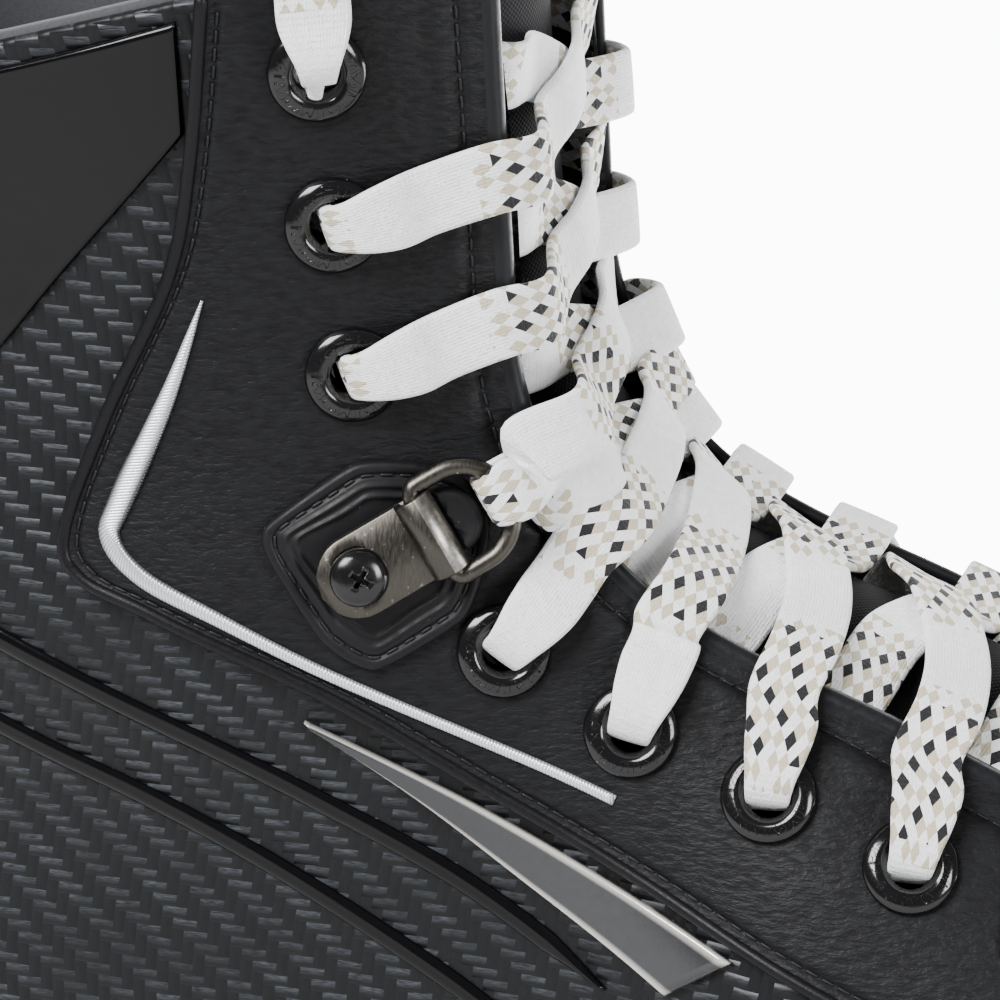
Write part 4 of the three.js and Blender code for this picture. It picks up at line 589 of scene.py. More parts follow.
def edged(count, length, rim):
    """Shares from 0 to 1 with extra ones where an edge of that length is rounded off."""
    near = rim / length * np.array([0, 0.08, 0.3, 0.62, 1])
    return np.concatenate([near, np.linspace(near[-1], 1 - near[-1], count)[1:-1], 1 - near[::-1]])


def slab(name, place, us, vs, low, high, finish, body, rim=0.0003, both=False, **facts):
    """A closed sheet. place(u, v, lift) gives its points and their flat places; its rims are rounded."""
    u, v = np.meshgrid(us, vs, indexing="ij")
    flat_top = place(u, v, high)[0]

    def to_edge(axis):
        steps = np.linalg.norm(np.diff(flat_top, axis=axis), axis=-1)
        pad = [(1, 0), (0, 0)] if axis == 0 else [(0, 0), (1, 0)]
        run = np.cumsum(np.pad(steps, pad), axis=axis)
        return np.minimum(run, run.take([-1], axis) - run)

    inside = np.minimum(np.minimum(to_edge(0), to_edge(1)) / rim, 1)
    drop = rim * (1 - np.sqrt(np.maximum(1 - (1 - inside) ** 2, 0)))
    top, flat = place(u, v, high - drop)
    bottom, _ = place(u, v, low + drop if both else np.full(u.shape, low))
    rows, columns = u.shape
    index = np.arange(rows * columns).reshape(rows, columns)
    upper = np.stack([index[:-1, :-1], index[:-1, 1:], index[1:, 1:], index[1:, :-1]], -1).reshape(-1, 4)
    under = upper[:, ::-1] + rows * columns
    loop = np.concatenate([index[0], index[1:, -1], index[-1, -2::-1], index[-2:0:-1, 0]])
    after = np.roll(loop, -1)
    wall = np.stack([loop, loop + rows * columns, after + rows * columns, after], -1)
    points = np.concatenate([top.reshape(-1, 3), bottom.reshape(-1, 3)])
    uv = np.concatenate([flat.reshape(-1, 2)] * 2)
    return make(name, points, np.concatenate([upper, under, wall]), finish, body, uv=uv, **facts)


def turning(axis):
    """Two directions square to an axis and to each other."""
    axis = unit(np.asarray(axis, float))
    across = unit(np.cross(axis, (0, 0, 1) if abs(axis[2]) < 0.9 else (1, 0, 0)))
    return across, np.cross(axis, across)


def turned(name, profile, centre, axis, finish, body, segments=56, closed=False, **facts):
    """A round piece: profile points are (radius, height along the axis); a closed one is a ring."""
    first, second = turning(axis)
    axis = unit(np.asarray(axis, float))
    angles = np.linspace(0, 2 * math.pi, segments, endpoint=False)
    circle = np.cos(angles)[:, None] * first + np.sin(angles)[:, None] * second
    points = np.array([np.asarray(centre) + axis * h + r * circle for r, h in profile])
    uv = np.array([[(a, r) for a in angles] for r, h in profile])
    size = len(profile), segments
    faces = tube_faces(*size, closed) + ([] if closed else end_faces(*size))
    return make(name, points.reshape(-1, 3), faces, finish, body, uv=uv.reshape(-1, 2), **facts)


def cut_away(piece, cutters):
    """Takes the closed cutters out of a piece and throws them away."""
    bpy.ops.object.select_all(action="DESELECT")
    for cutter in cutters:
        cutter.select_set(True)
    bpy.context.view_layer.objects.active = cutters[0]
    if len(cutters) > 1:
        bpy.ops.object.join()
    tool = bpy.context.view_layer.objects.active
    modifier = piece.modifiers.new("cut", "BOOLEAN")
    modifier.object, modifier.operation, modifier.solver = tool, "DIFFERENCE", "MANIFOLD"
    bpy.context.view_layer.objects.active = piece
    with bpy.context.temp_override(object=piece, active_object=piece, selected_objects=[piece]):
        bpy.ops.object.modifier_apply(modifier="cut")
    bpy.data.objects.remove(tool, do_unlink=True)


def carbon_finish():
    """Two-by-two twill carbon under a thin satin coat; the floats of one yarn are painted lighter as a
    painted sheen, with a painted highlight along each float's upper edge.
    """
    carbon = Finish("carbon_twill", (0.03, 0.031, 0.034), 0.34, Specular_IOR_Level=0.22)
    girth, height = carbon.flat()
    yarn = 0.00156  # width of one tow
    across = carbon.sum("DIVIDE", carbon.sum("ABSOLUTE", girth), yarn)
    upward = carbon.sum("DIVIDE", height, yarn)
    wander = carbon.sum("MULTIPLY", carbon.sum("SUBTRACT", carbon.noise(160, 1), 0.5), 0.5)
    upward = carbon.sum("ADD", upward, wander)
    cell = carbon.sum("ADD", carbon.sum("FLOOR", across), carbon.sum("FLOOR", upward))
    over = carbon.sum("LESS_THAN", carbon.sum("FLOORED_MODULO", cell, 4), 1.5)
    warp = carbon.sum("SINE", carbon.sum("MULTIPLY", carbon.sum("FRACT", across), math.pi))
    weft = carbon.sum("SINE", carbon.sum("MULTIPLY", carbon.sum("FRACT", upward), math.pi))
    long_fibres = carbon.add("Mapping", {0: carbon.place(), 3: (6500, 6500, 900)}).outputs[0]
    round_fibres = carbon.add("Mapping", {0: carbon.place(), 3: (900, 900, 9000)}).outputs[0]
    warp_fibre, weft_fibre = carbon.noise(1, 2, long_fibres), carbon.noise(1, 2, round_fibres)
    # Painted sheen: the floats of the one yarn are painted far lighter than the black carbon, streaked by
    # their fibres.
    light = carbon.mix(carbon.ramp(weft_fibre, 0.32, 0.72), (0.007, 0.0076, 0.0085), (0.070, 0.076, 0.086))
    # Painted highlight: each float is painted brightest along its upper edge and darker below it.
    painted_float_highlight = carbon.ramp(carbon.sum("FRACT", upward), 0.30, 0.80)
    light = carbon.mix(painted_float_highlight, (0.006, 0.0065, 0.0075), light)
    dark = carbon.mix(warp_fibre, (0.002, 0.002, 0.0023), (0.010, 0.0106, 0.012))
    # The painted sheen is painted stronger in some patches than in others.
    patch = carbon.ramp(carbon.noise(90, 1), 0.35, 0.65, 0.45, 1.0)
    carbon.color(carbon.mix(carbon.sum("MULTIPLY", over, patch), dark, light))
    carbon.rough(carbon.mix(over, (0.44, 0.44, 0.44), (0.34, 0.34, 0.34)))
    height_here = carbon.add("Mix", data_type="FLOAT")
    carbon.feed(height_here.inputs[0], over)
    carbon.feed(height_here.inputs[2], carbon.sum("MULTIPLY", warp, 0.5))
    carbon.feed(height_here.inputs[3], weft)
    carbon.relief(height_here.outputs[0], 0.00022, 0.9)
    return carbon


plain = Finish("cutter", (0.5, 0.5, 0.5), 0.5)


def rod_along(centre, axis, radius, reach=0.012):
    return turned("cutter", [(radius, -reach), (radius, reach)], centre, axis, plain, None, segments=28)


EYELETS = 9
BARREL = 0.0031
HOLE = 0.0034
SCREW_RADIUS = 0.0019
eyelets = {}  # (side, number) to (centre on the skin, outward axis)
for side_name in SIDES:
    for number in range(1, EYELETS + 1):
        at, axis, _, rim_end = round_node(f"eyelet_{side_name}_{number}")
        eyelets[side_name, number] = (at + axis * (rim_end - FLANGE_TOP), axis)

carbon = carbon_finish()
shell = slab("carbon_shell", quarter, edged(230, 0.6, 0.0006), edged(84, 0.14, 0.0006), -SHELL_WALL, 0.0,
             carbon, "boot", rim=0.0006, both=True, slot="carbon", replaces="quarter_shell")

# ---------------------------------------------------------------- lining and ankle pads
# Brushed charcoal microfibre is glued inside the shell, set back from the throat; round foam
# pads with the same face hold the ankle bones.

lining = Finish("brushed_lining", (0.042, 0.044, 0.049), 0.95, Sheen_Weight=0.5, Sheen_Roughness=0.45)
nap = lining.noise(2600, 3)
lining.color(lining.mix(nap, (0.030, 0.031, 0.034), (0.070, 0.073, 0.080)))
lining.relief(nap, 0.00015, 0.6)
LINER_OUTSIDE = -0.0036
LINER_SETBACK = 0.031
slab("boot_lining", lambda u, v, lift: quarter(u, v, lift, LINER_SETBACK), edged(150, 0.55, 0.001),
     edged(50, 0.12, 0.001), LINER_SURFACE, LINER_OUTSIDE, lining, "boot", rim=0.001, both=True,
     slot="lining", replaces="boot_liner")

PAD_MIDDLE, PAD_RADII = (-0.080, 0.088), (0.020, 0.025)
PAD_BACK = LINER_SURFACE - 0.0018
for side_name, side in SIDES.items():
    rings, around = np.linspace(0, 1, 22), np.linspace(0, 2 * math.pi, 96, endpoint=False)
    r, a = np.meshgrid(rings, around, indexing="ij")
    x, z = PAD_MIDDLE[0] + PAD_RADII[0] * r * np.cos(a), SOLE + PAD_MIDDLE[1] + PAD_RADII[1] * r * np.sin(a)
    depth = 0.0005 + 0.0025 * (1 - r**4)
    front, back = on_side(side, x, z, PAD_BACK - depth), on_side(side, x, z, PAD_BACK)
    n = len(around)
    sheet = tube_faces(len(rings), n)
    faces = sheet + [[corner + r.size for corner in face] for face in sheet]
    last = (len(rings) - 1) * n
    faces += [(last + j, last + (j + 1) % n, r.size + last + (j + 1) % n, r.size + last + j)
              for j in range(n)]
    pad = make(f"ankle_foam_{side_name}", np.concatenate([front.reshape(-1, 3), back.reshape(-1, 3)]), faces,
               lining, "boot", slot="lining", replaces=f"ankle_pad_{side_name}")

# ---------------------------------------------------------------- facings
# A band of black wrinkled synthetic leather along each side of the throat carries the eyelets.
# It is glued and stitched to the shell: a bound front edge, a rolled welt behind.

FACING_GAP = 0.0008
WELT = [(0.076, 0.028), (0.040, 0.0435), (0.010, 0.0555), (-0.018, 0.0683), (-0.0397, 0.0807),
        (-0.0589, 0.0895), (-0.0686, 0.0934), (-0.0706, 0.099), (-0.0652, 0.1139), (-0.0576, 0.1307),
        (-0.0546, 0.145), (-0.052, 0.166)]
welt = SideLine(WELT)
facing_start = float(facing_edge.nearest(TOE_JOIN - 2 * BORDER_GAP, SOLE + 0.0556)[1])
facing_end = corner_s - 0.0004
STITCH_ROW = 0.0044  # from the front edge to its row of stitches
WELT_ROW = 0.0026  # from the welt's outside to the row of stitches in front of it
GROOVE = 0.00045
SWELL_AT = 0.0062  # the leather swells between its front stitches and the eyelets
FRONT_BAND, REAR_BAND = 0.0065, 0.0042  # finely divided widths along the two edges


def facing_lines(u):
    return facing_edge.at(between(facing_start, facing_end, u)), welt.at(u * welt.length)


def facing_place(side):
    def place(u, distance, lift):
        """distance is metres behind the front edge; negative, metres before the welt; from 2 to 3, the
        share of the width between the two finely divided bands."""
        front, rear = facing_lines(u)
        width = np.linalg.norm(rear - front, axis=-1)
        d = np.where(distance >= 0, distance, width + distance)
        d = np.where(distance > 1, FRONT_BAND + (width - FRONT_BAND - REAR_BAND) * (distance - 2), d)
        p = front + (rear - front) * (d / width)[..., None]
        groove = 0.00042 * (np.exp(-((d - STITCH_ROW) / GROOVE) ** 2)
                            + np.exp(-((width - d - WELT_ROW) / GROOVE) ** 2))
        swell = 0.00022 * np.exp(-((d - SWELL_AT) / 0.0011) ** 2)
        lifted = lift - np.where(lift > 0.0012, groove - swell, 0)
        return on_side(side, p[..., 0], p[..., 1], lifted), np.stack([p[..., 0], p[..., 1]], -1)

    return place


front_steps = [0, 0.00003, 0.0001, 0.0002, 0.0004, *np.linspace(0.0008, FRONT_BAND, 22)]
inner_steps = 2 + np.linspace(0, 1, 40)[1:-1]
rear_steps = [*-np.linspace(REAR_BAND, 0.0006, 16), -0.0004, -0.0002, -0.0001, -0.00003, -1e-9]
FACING_ACROSS = np.array([*front_steps, *inner_steps, *rear_steps])

leather = Finish("wrinkled_leather", (0.006, 0.006, 0.007), 0.5, Specular_IOR_Level=0.16)
warp = leather.add("TexNoise", {"Vector": leather.place(), "Scale": 260, "Detail": 2}).outputs["Color"]
shifted = leather.add("VectorMath", {0: leather.place(), 1: leather.add(
    "VectorMath", {0: warp, "Scale": 0.0009}, operation="SCALE").outputs[0]}, operation="ADD").outputs[0]
grain = leather.add("Mapping", {0: shifted, 3: (520, 520, 1500)}).outputs[0]
wrinkle = leather.add("TexNoise", {"Vector": grain, "Scale": 1.0, "Detail": 3,
                                   "Roughness": 0.6}).outputs["Fac"]
crease = leather.ramp(wrinkle, 0.34, 0.62)
pores = leather.noise(5200, 2)
# Painted shade: the leather is painted darker down in the creases of its grain and lighter on their tops.
leather.color(leather.mix(crease, (0.0038, 0.0038, 0.0044), (0.0088, 0.0090, 0.0101)))
leather.rough(leather.ramp(crease, 0, 1, 0.62, 0.42))
leather.relief(crease, 0.00010, 0.8)
leather.relief(pores, 0.00003, 0.5)

rolled = Finish("rolled_welt", (0.005, 0.005, 0.006), 0.42, Specular_IOR_Level=0.2)
rolled.rough(rolled.ramp(rolled.noise(1800), 0.3, 0.7, 0.32, 0.5))
rolled.relief(rolled.noise(3600), 0.00004, 0.5)

thread = Finish("waxed_thread", (0.006, 0.006, 0.007), 0.5, Specular_IOR_Level=0.3)
ply = thread.noise(9000, 2)
thread.color(thread.mix(ply, (0.002, 0.002, 0.003), (0.012, 0.012, 0.014)))


def sweep(path, radius, sides=12, flat=1.0, facing=None):
    """Points and faces of a round cord along a path, with domed ends; flat squashes it away from the skin."""
    path = np.asarray(path, float)
    ahead = unit(np.gradient(path, axis=0))
    facing = np.array([turning(ahead[0])[0]] * len(path)) if facing is None else facing
    across = unit(np.cross(facing, ahead))
    up = np.cross(ahead, across)
    dome = [(-1.0, 0.05), (-0.9, 0.44), (-0.55, 0.84)]
    stations = [(path[0] + ahead[0] * radius * (1 + e), 0, r) for e, r in dome]
    stations += [(p, i, 1.0) for i, p in enumerate(path)][1:-1]
    last = len(path) - 1
    stations += [(path[-1] - ahead[-1] * radius * (1 + e), last, r) for e, r in dome[::-1]]
    angles = np.linspace(0, 2 * math.pi, sides, endpoint=False)
    points = np.array([[c + radius * r * (math.cos(a) * across[i] + flat * math.sin(a) * up[i])
                        for a in angles] for c, i, r in stations])
    size = len(stations), sides
    return points.reshape(-1, 3), tube_faces(*size) + end_faces(*size)


def many(name, parts, finish, body, **facts):
    """Several small closed bodies as one piece."""
    points, faces, count = [], [], 0
    for p, f in parts:
        points.append(p)
        faces += [[k + count for k in face] for face in f]
        count += len(p)
    return make(name, np.concatenate(points), faces, finish, body, **facts)


def stitches(name, line, body, pitch=0.0021, length=0.0016, radius=0.00021, **facts):
    """line(distances) gives points and outward normals; stitches lie along it end to end."""
    parts = []
    for start in np.arange(pitch / 2, line.length - pitch, pitch):
        path, normals = line(start + np.linspace(0, length, 5))
        parts.append(sweep(path, radius, 7, facing=normals))
    return many(name, parts, thread, body, **facts)


class OnFacing:
    """A line along a facing at a distance from its front edge, or from its welt."""

    def __init__(self, side, lift, from_front=None, from_welt=None):
        u = np.linspace(0.004, 0.996, 500)
        front, rear = facing_lines(u)
        width = np.linalg.norm(rear - front, axis=-1)
        d = from_front if from_front is not None else width - from_welt
        p = front + (rear - front) * (d / width)[..., None]
        self.points, self.normals = on_side(side, p[:, 0], p[:, 1], lift), side_normal(side, p[:, 0], p[:, 1])
        self.run = np.concatenate([[0], np.cumsum(np.linalg.norm(np.diff(self.points, axis=0), axis=1))])
        self.length = self.run[-1]

    def __call__(self, distance):
        pick = [np.stack([np.interp(distance, self.run, a[:, k]) for k in range(3)], -1)
                for a in (self.points, self.normals)]
        return pick[0], unit(pick[1])


binding = Finish("bound_edge", (0.009, 0.0095, 0.011), 0.42, Specular_IOR_Level=0.22)
binding.rough(binding.ramp(binding.noise(1500), 0.3, 0.7, 0.3, 0.46))
binding.relief(binding.noise(3200), 0.00004, 0.5)

facings = {}
for side_name, side in SIDES.items():
    along = np.concatenate([[0, 0.0003, 0.001], np.linspace(0.003, 0.997, 220), [0.999, 0.9997, 1]])
    facings[side_name] = slab(f"facing_leather_{side_name}", facing_place(side), along, FACING_ACROSS,
                              FACING_GAP, FACING_TOP, leather, "boot", rim=0.00035, slot="leather",
                              replaces=f"facing_{side_name}")
    roll = OnFacing(side, FACING_TOP - 0.00025, from_welt=0.0008)
    points, normals = roll(np.linspace(0, roll.length, 260))
    make(f"welt_{side_name}", *sweep(points, 0.00085, 14, facing=normals), rolled, "boot", slot="leather")
    edge = OnFacing(side, FACING_TOP - 0.0006, from_front=0.0011)
    points, normals = edge(np.linspace(0, edge.length, 260))
    make(f"edge_binding_{side_name}", *sweep(points, 0.00135, 16, flat=0.75, facing=normals), binding, "boot",
         slot="leather")
    for row, place in (("front", {"from_front": STITCH_ROW}), ("welt", {"from_welt": WELT_ROW})):
        stitches(f"{row}_stitches_{side_name}", OnFacing(side, FACING_TOP - 0.00028, **place), "boot",
                 slot="thread")

# ---------------------------------------------------------------- ankle wing and sculpted lines
# Gloss-black moulded wings lie over the carbon behind each facing, up to the collar, and two
# narrow black lines are moulded into the quarter below them.

WING_EDGE = [(-0.107, 0.095), (-0.092, 0.106), (-0.080, 0.1185), (-0.0704, 0.1299), (-0.0617, 0.1397),
             (-0.0545, 0.1480)]
wing_edge = smooth_line(WING_EDGE)
SCULPTED = {
    "upper": [(-0.112, 0.0960), (-0.0900, 0.0880), (-0.0733, 0.0809), (-0.0638, 0.0766), (-0.0544, 0.0723),
              (-0.0404, 0.0657), (-0.0240, 0.0575), (-0.004, 0.0455)],
    "lower": [(-0.112, 0.0830), (-0.0900, 0.0755), (-0.0748, 0.0688), (-0.0627, 0.0637), (-0.0460, 0.0555),
              (-0.0260, 0.0440), (-0.008, 0.0320)],
}
gloss = Finish("gloss_black", (0.002, 0.002, 0.0025), 0.10, Specular_IOR_Level=0.26)
gloss.rough(gloss.ramp(gloss.noise(300), 0.3, 0.7, 0.08, 0.16))


def wing_place(side):
    def place(u, v, lift):
        x = between(-0.0545, -0.107, u)
        low = SOLE + wing_edge(x)
        high = SOLE + collar_rise(np.minimum(girth_at(x, low) / corner_girth, 1)) - 0.0012
        return on_side(side, x, between(low, high, v), lift), np.stack([x, v * 0.04], -1)

    return place


def beside(side, line, u, shift, lift):
    """The point at that share of a line and that far across it, and its flat place."""
    here, direction = line.at(u * line.length), line.direction(u * line.length)
    x, z = here[..., 0] - direction[..., 1] * shift, here[..., 1] + direction[..., 0] * shift
    return on_side(side, x, z, lift), np.stack([u * line.length, shift], -1)


def line_place(side, line):
    def place(u, v, lift):
        width = 0.0030 * np.minimum(1, 12 * np.minimum(u, 1 - u) + 0.1)
        round_top = 0.0005 * (1 - (2 * v - 1) ** 2) * (lift > 0.0002)
        return beside(side, line, u, (v - 0.5) * width, lift + round_top)

    return place


for side_name, side in SIDES.items():
    slab(f"ankle_wing_{side_name}", wing_place(side), edged(70, 0.06, 0.0008), edged(40, 0.03, 0.0008),
         0.0001, 0.0009, gloss, "boot", rim=0.0008, slot="toe_plastic")
    for which, points in SCULPTED.items():
        slab(f"sculpted_{which}_{side_name}", line_place(side, SideLine(points)), np.linspace(0, 1, 160),
             np.linspace(0, 1, 15), 0.0000, 0.0003, gloss, "boot", rim=0.0002, slot="toe_plastic")

# ---------------------------------------------------------------- stripe and side inlay
# A ribbed silver moulding is pressed into the facing in front of its welt, and a smoked wedge
# with bright edges lies on the carbon below it.

STRIPE = [(-0.0037, 0.0693), (-0.0213, 0.0761), (-0.0375, 0.0832), (-0.0509, 0.090), (-0.0602, 0.0946),
          (-0.064, 0.0989), (-0.0628, 0.1034), (-0.0571, 0.1168), (-0.053, 0.1285)]
stripe = SideLine(STRIPE)
stripe_width = smooth_line([(0, 0.0012), (0.45, 0.0014), (0.64, 0.0022), (0.72, 0.0029), (0.78, 0.0029),
                            (0.92, 0.0014), (1, 0.0003)])
TRIM_THICKNESS = 0.0006
INLAY_TOP = [(-0.0414, 0.0802), (-0.026, 0.073), (-0.008, 0.0646), (0.012, 0.0562)]
INLAY_BOTTOM = [(-0.041, 0.0796), (-0.0297, 0.0721), (-0.014, 0.061), (0.004, 0.0505)]
INLAY_CLEAR = 0.0034
inlay_top, inlay_bottom = SideLine(INLAY_TOP), SideLine(INLAY_BOTTOM)

silver = Finish("silver_trim", (0.74, 0.76, 0.78), 0.30, 0.55)
along, across = silver.flat()
rib_relief_and_shade = silver.sum("ABSOLUTE", silver.sum("SINE", silver.sum("MULTIPLY", silver.sum(
    "ADD", along, silver.sum("MULTIPLY", across, 0.6)), math.pi / 0.00042)))
core = silver.ramp(silver.sum("ABSOLUTE", across), 0.0004, 0.00125)
# Painted highlight and painted shade: the ribs are painted bright on their crests and darker in their
# troughs, over their relief.
silver.color(silver.mix(core, silver.mix(rib_relief_and_shade, (0.42, 0.44, 0.46), (0.80, 0.83, 0.86)), (0.10, 0.105, 0.11)))
silver.relief(rib_relief_and_shade, 0.00010, 0.7)

smoked = Finish("smoked_inlay", (0.04, 0.041, 0.043), 0.22, 0.3, Coat_Weight=0.4)
_, across = smoked.flat()
smoked.color(smoked.mix(smoked.ramp(smoked.sum("ABSOLUTE", across), 0.36, 0.47), (0.035, 0.036, 0.038),
                        (0.62, 0.60, 0.55)))
smoked.rough(smoked.ramp(smoked.noise(900), 0.3, 0.7, 0.16, 0.3))


def stripe_place(side):
    def place(u, v, lift):
        dome = 0.00025 * (1 - (2 * v - 1) ** 2) * np.minimum(stripe_width(u) / 0.0014, 1)
        lifted = lift + np.where(lift > FACING_TOP + 0.0004, dome, 0)
        return beside(side, stripe, u, (v - 0.5) * stripe_width(u), lifted)

    return place


def inlay_place(side):
    def place(u, v, lift):
        a, b = inlay_top.at(u * inlay_top.length), inlay_bottom.at(u * inlay_bottom.length)
        p = between(a, b, v[..., None])
        return on_side(side, p[..., 0], p[..., 1] - INLAY_CLEAR, lift), np.stack([u, v - 0.5], -1)

    return place


for side_name, side in SIDES.items():
    slab(f"silver_stripe_{side_name}", stripe_place(side), np.linspace(0, 1, 150), edged(9, 0.002, 0.0003),
         FACING_TOP - 0.0001, FACING_TOP + 0.00055, silver, "boot", rim=0.0003, slot="silver_trim",
         replaces=f"stripe_{side_name}")
    slab(f"smoked_inlay_{side_name}", inlay_place(side), np.linspace(0, 1, 80), edged(12, 0.004, 0.0003),
         0.0002, FACING_GAP + TRIM_THICKNESS, smoked, "boot", rim=0.00035, slot="smoked_inlay",
         replaces=f"side_inlay_{side_name}")

# ---------------------------------------------------------------- eyelets
# Black enamelled brass eyelets, their barrels rolled over inside the boot; the lace runs
# through the nine on each side.

FLANGE_RADIUS = 0.0057
BORE = 0.0026
enamel = Finish("black_enamel", (0.003, 0.003, 0.0035), 0.13, Specular_IOR_Level=0.55)
dust = enamel.add("TexVoronoi", {"Vector": enamel.place(), "Scale": 800}).outputs["Distance"]
speck = enamel.sum("MULTIPLY", enamel.sum("LESS_THAN", dust, 0.08),
                   enamel.sum("GREATER_THAN", enamel.noise(260), 0.60))
enamel.color(enamel.mix(speck, (0.003, 0.003, 0.0035), (0.16, 0.16, 0.17)))
angle, radius = enamel.flat()
round_the_rim = enamel.add("CombineXYZ", {0: enamel.sum("MULTIPLY", angle, 7.0),
                                          1: enamel.sum("MULTIPLY", radius, 900.0)}).outputs[0]
marks = enamel.ramp(enamel.noise(1.0, 0, round_the_rim), 0.52, 0.56)
on_rim = enamel.sum("LESS_THAN", enamel.sum("ABSOLUTE", enamel.sum("SUBTRACT", radius, 0.0043)), 0.00065)
enamel.rough(enamel.ramp(enamel.noise(420), 0.35, 0.7, 0.10, 0.17))
enamel.relief(enamel.sum("MULTIPLY", marks, on_rim), 0.00016, 0.8)

EYELET_PROFILE = [
    (BORE, -0.0030), (BORE + 0.0003, -0.0032), (0.0041, -0.0030), (0.0045, -0.0027), (0.0044, -0.0024),
    (BARREL, -0.0023), (BARREL, 0.0021), (0.0053, 0.0021), (FLANGE_RADIUS, 0.00225), (FLANGE_RADIUS, 0.0025),
    (0.00555, 0.00285), (0.0052, 0.00318), (0.0047, 0.0034), (0.0041, FLANGE_TOP), (0.0036, 0.00355),
    (0.0031, 0.00328), (0.00278, 0.0028), (BORE, 0.0021),
]
for side_name in SIDES:
    for number in range(1, EYELETS + 1):
        at, axis = eyelets[side_name, number]
        turned(f"eyelet_{side_name}_{number}_brass", EYELET_PROFILE, at, axis, enamel, "boot", segments=72,
               closed=True, slot="eyelet_enamel", replaces=f"eyelet_{side_name}_{number}")

# ---------------------------------------------------------------- D-ring pads
# Beside the instep bend the lace goes round a D-ring.  A rubber pad under it is moulded with a
# border, a double ridge and a round bumper that keeps the ring off the leather.

RING_PLACE = (-0.0278, 0.1006)
PAD_OUTLINE = [(0.0026, -0.0084), (0.0064, -0.003), (0.0066, 0.003), (0.0028, 0.008), (-0.0035, 0.0115),
               (-0.0166, 0.010), (-0.0184, 0.006), (-0.0178, -0.0054), (-0.0138, -0.0114), (-0.002, -0.0116)]
PAD_CENTRE = np.array((-0.0058, 0.0))
PAD_LOW, PAD_HIGH = FACING_TOP + 0.0001, FACING_TOP + 0.0003 + 0.0012
CLIP_LOW = PAD_HIGH + 0.0006
RING_WIRE = 0.0011
CLIP_EYE = RING_WIRE + 0.00035 + 0.0009
BAR_HEIGHT = CLIP_LOW + CLIP_EYE
CLIP_WIDTH, CLIP_THICKNESS, CLIP_REACH = 0.010, 0.0018, 0.0098
BUMPER_RADIUS, BUMPER_FRONT, BUMPER_HEIGHT = 0.0042, 0.0064, 0.002
HEAD_LOW = CLIP_LOW + CLIP_THICKNESS + 0.0003


class RingFrame:
    """Places given as (towards the ring, along its bar, height above the shell)."""

    def __init__(self, side):
        x, z = RING_PLACE[0], SOLE + RING_PLACE[1]
        self.side, self.origin, self.normal = side, on_side(side, x, z), side_normal(side, x, z)
        bar = on_side(side, x - 0.0032, z + 0.0054) - on_side(side, x + 0.0032, z - 0.0054)
        self.bar = unit(bar - self.normal * (bar @ self.normal))
        self.forward = np.cross(self.bar, self.normal) * (1 if side == LATERAL else -1)

    def at(self, forward, bar, height):
        forward, bar, height = np.broadcast_arrays(np.asarray(forward, float), bar, height)
        return (self.origin + forward[..., None] * self.forward + bar[..., None] * self.bar
                + height[..., None] * self.normal)


ring_frames = {name: RingFrame(side) for name, side in SIDES.items()}


def rounded_loop(points, count):
    """A closed smooth outline through points, in equal steps."""
    p = np.array(points, float)
    fine = []
    for i in range(len(p)):
        a, b, c, d = p[i - 1], p[i], p[(i + 1) % len(p)], p[(i + 2) % len(p)]
        t = np.linspace(0, 1, 24, endpoint=False)[:, None]
        m, n = (c - a) * 0.3, (d - b) * 0.3
        fine.append((2 * t**3 - 3 * t**2 + 1) * b + (t**3 - 2 * t**2 + t) * m + (3 * t**2 - 2 * t**3) * c
                    + (t**3 - t**2) * n)
    fine = np.vstack([*fine, fine[0][:1]])
    run = np.concatenate([[0], np.cumsum(np.linalg.norm(np.diff(fine, axis=0), axis=1))])
    even = np.linspace(0, run[-1], count, endpoint=False)
    return np.stack([np.interp(even, run, fine[:, k]) for k in (0, 1)], -1)


rubber = Finish("moulded_rubber", (0.006, 0.006, 0.007), 0.5, Specular_IOR_Level=0.22)
rubber.rough(rubber.ramp(rubber.noise(700), 0.3, 0.7, 0.42, 0.58))
rubber.relief(rubber.noise(4200, 3), 0.00003, 0.6)
rubber_dust = rubber.add("TexVoronoi", {"Vector": rubber.place(), "Scale": 1100}).outputs["Distance"]
rubber.color(rubber.mix(rubber.sum("MULTIPLY", rubber.sum("LESS_THAN", rubber_dust, 0.09),
                                   rubber.sum("GREATER_THAN", rubber.noise(300), 0.6)),
                        (0.006, 0.006, 0.007), (0.09, 0.09, 0.09)))

outline = rounded_loop(PAD_OUTLINE, 180)
outward = outline - PAD_CENTRE
reach = np.linalg.norm(outward, axis=1, keepdims=True)
RIDGE_AT, RIDGE_GAP = 0.0030, 0.0013
STITCH_INSET = 0.0017  # from the pad's edge to its stitched groove
CROWN_DIP = 0.0002  # the pad's face lies this far below its highest ridge
pad_rings = [0, 0.00008, 0.0002, 0.0004, 0.0007, 0.0010, *np.linspace(0.0013, 0.0056, 30), 0.0066, 0.0078]


def pad_height(inset):
    """Height of the pad's relief, by distance from its edge: a rim, a stitched groove and two ridges."""
    edge = np.sqrt(max(1 - (1 - min(inset / 0.0007, 1)) ** 2, 0))
    groove = math.exp(-((inset - STITCH_INSET) / 0.0003) ** 2)
    ridges = sum(math.exp(-((inset - RIDGE_AT - k * RIDGE_GAP) / 0.00038) ** 2) for k in (0, 1))
    body = PAD_LOW + (PAD_HIGH - PAD_LOW) * (0.25 + 0.75 * edge)
    return body - 0.00035 * groove + 0.00034 * ridges - CROWN_DIP


def on_pad(ring, flat, lift):
    """Places on the boot under flat (towards the ring, along its bar) places, lifted off its skin."""
    at = ring.at(flat[:, 0], flat[:, 1], 0)
    return on_side(ring.side, at[:, 0], at[:, 2], lift)


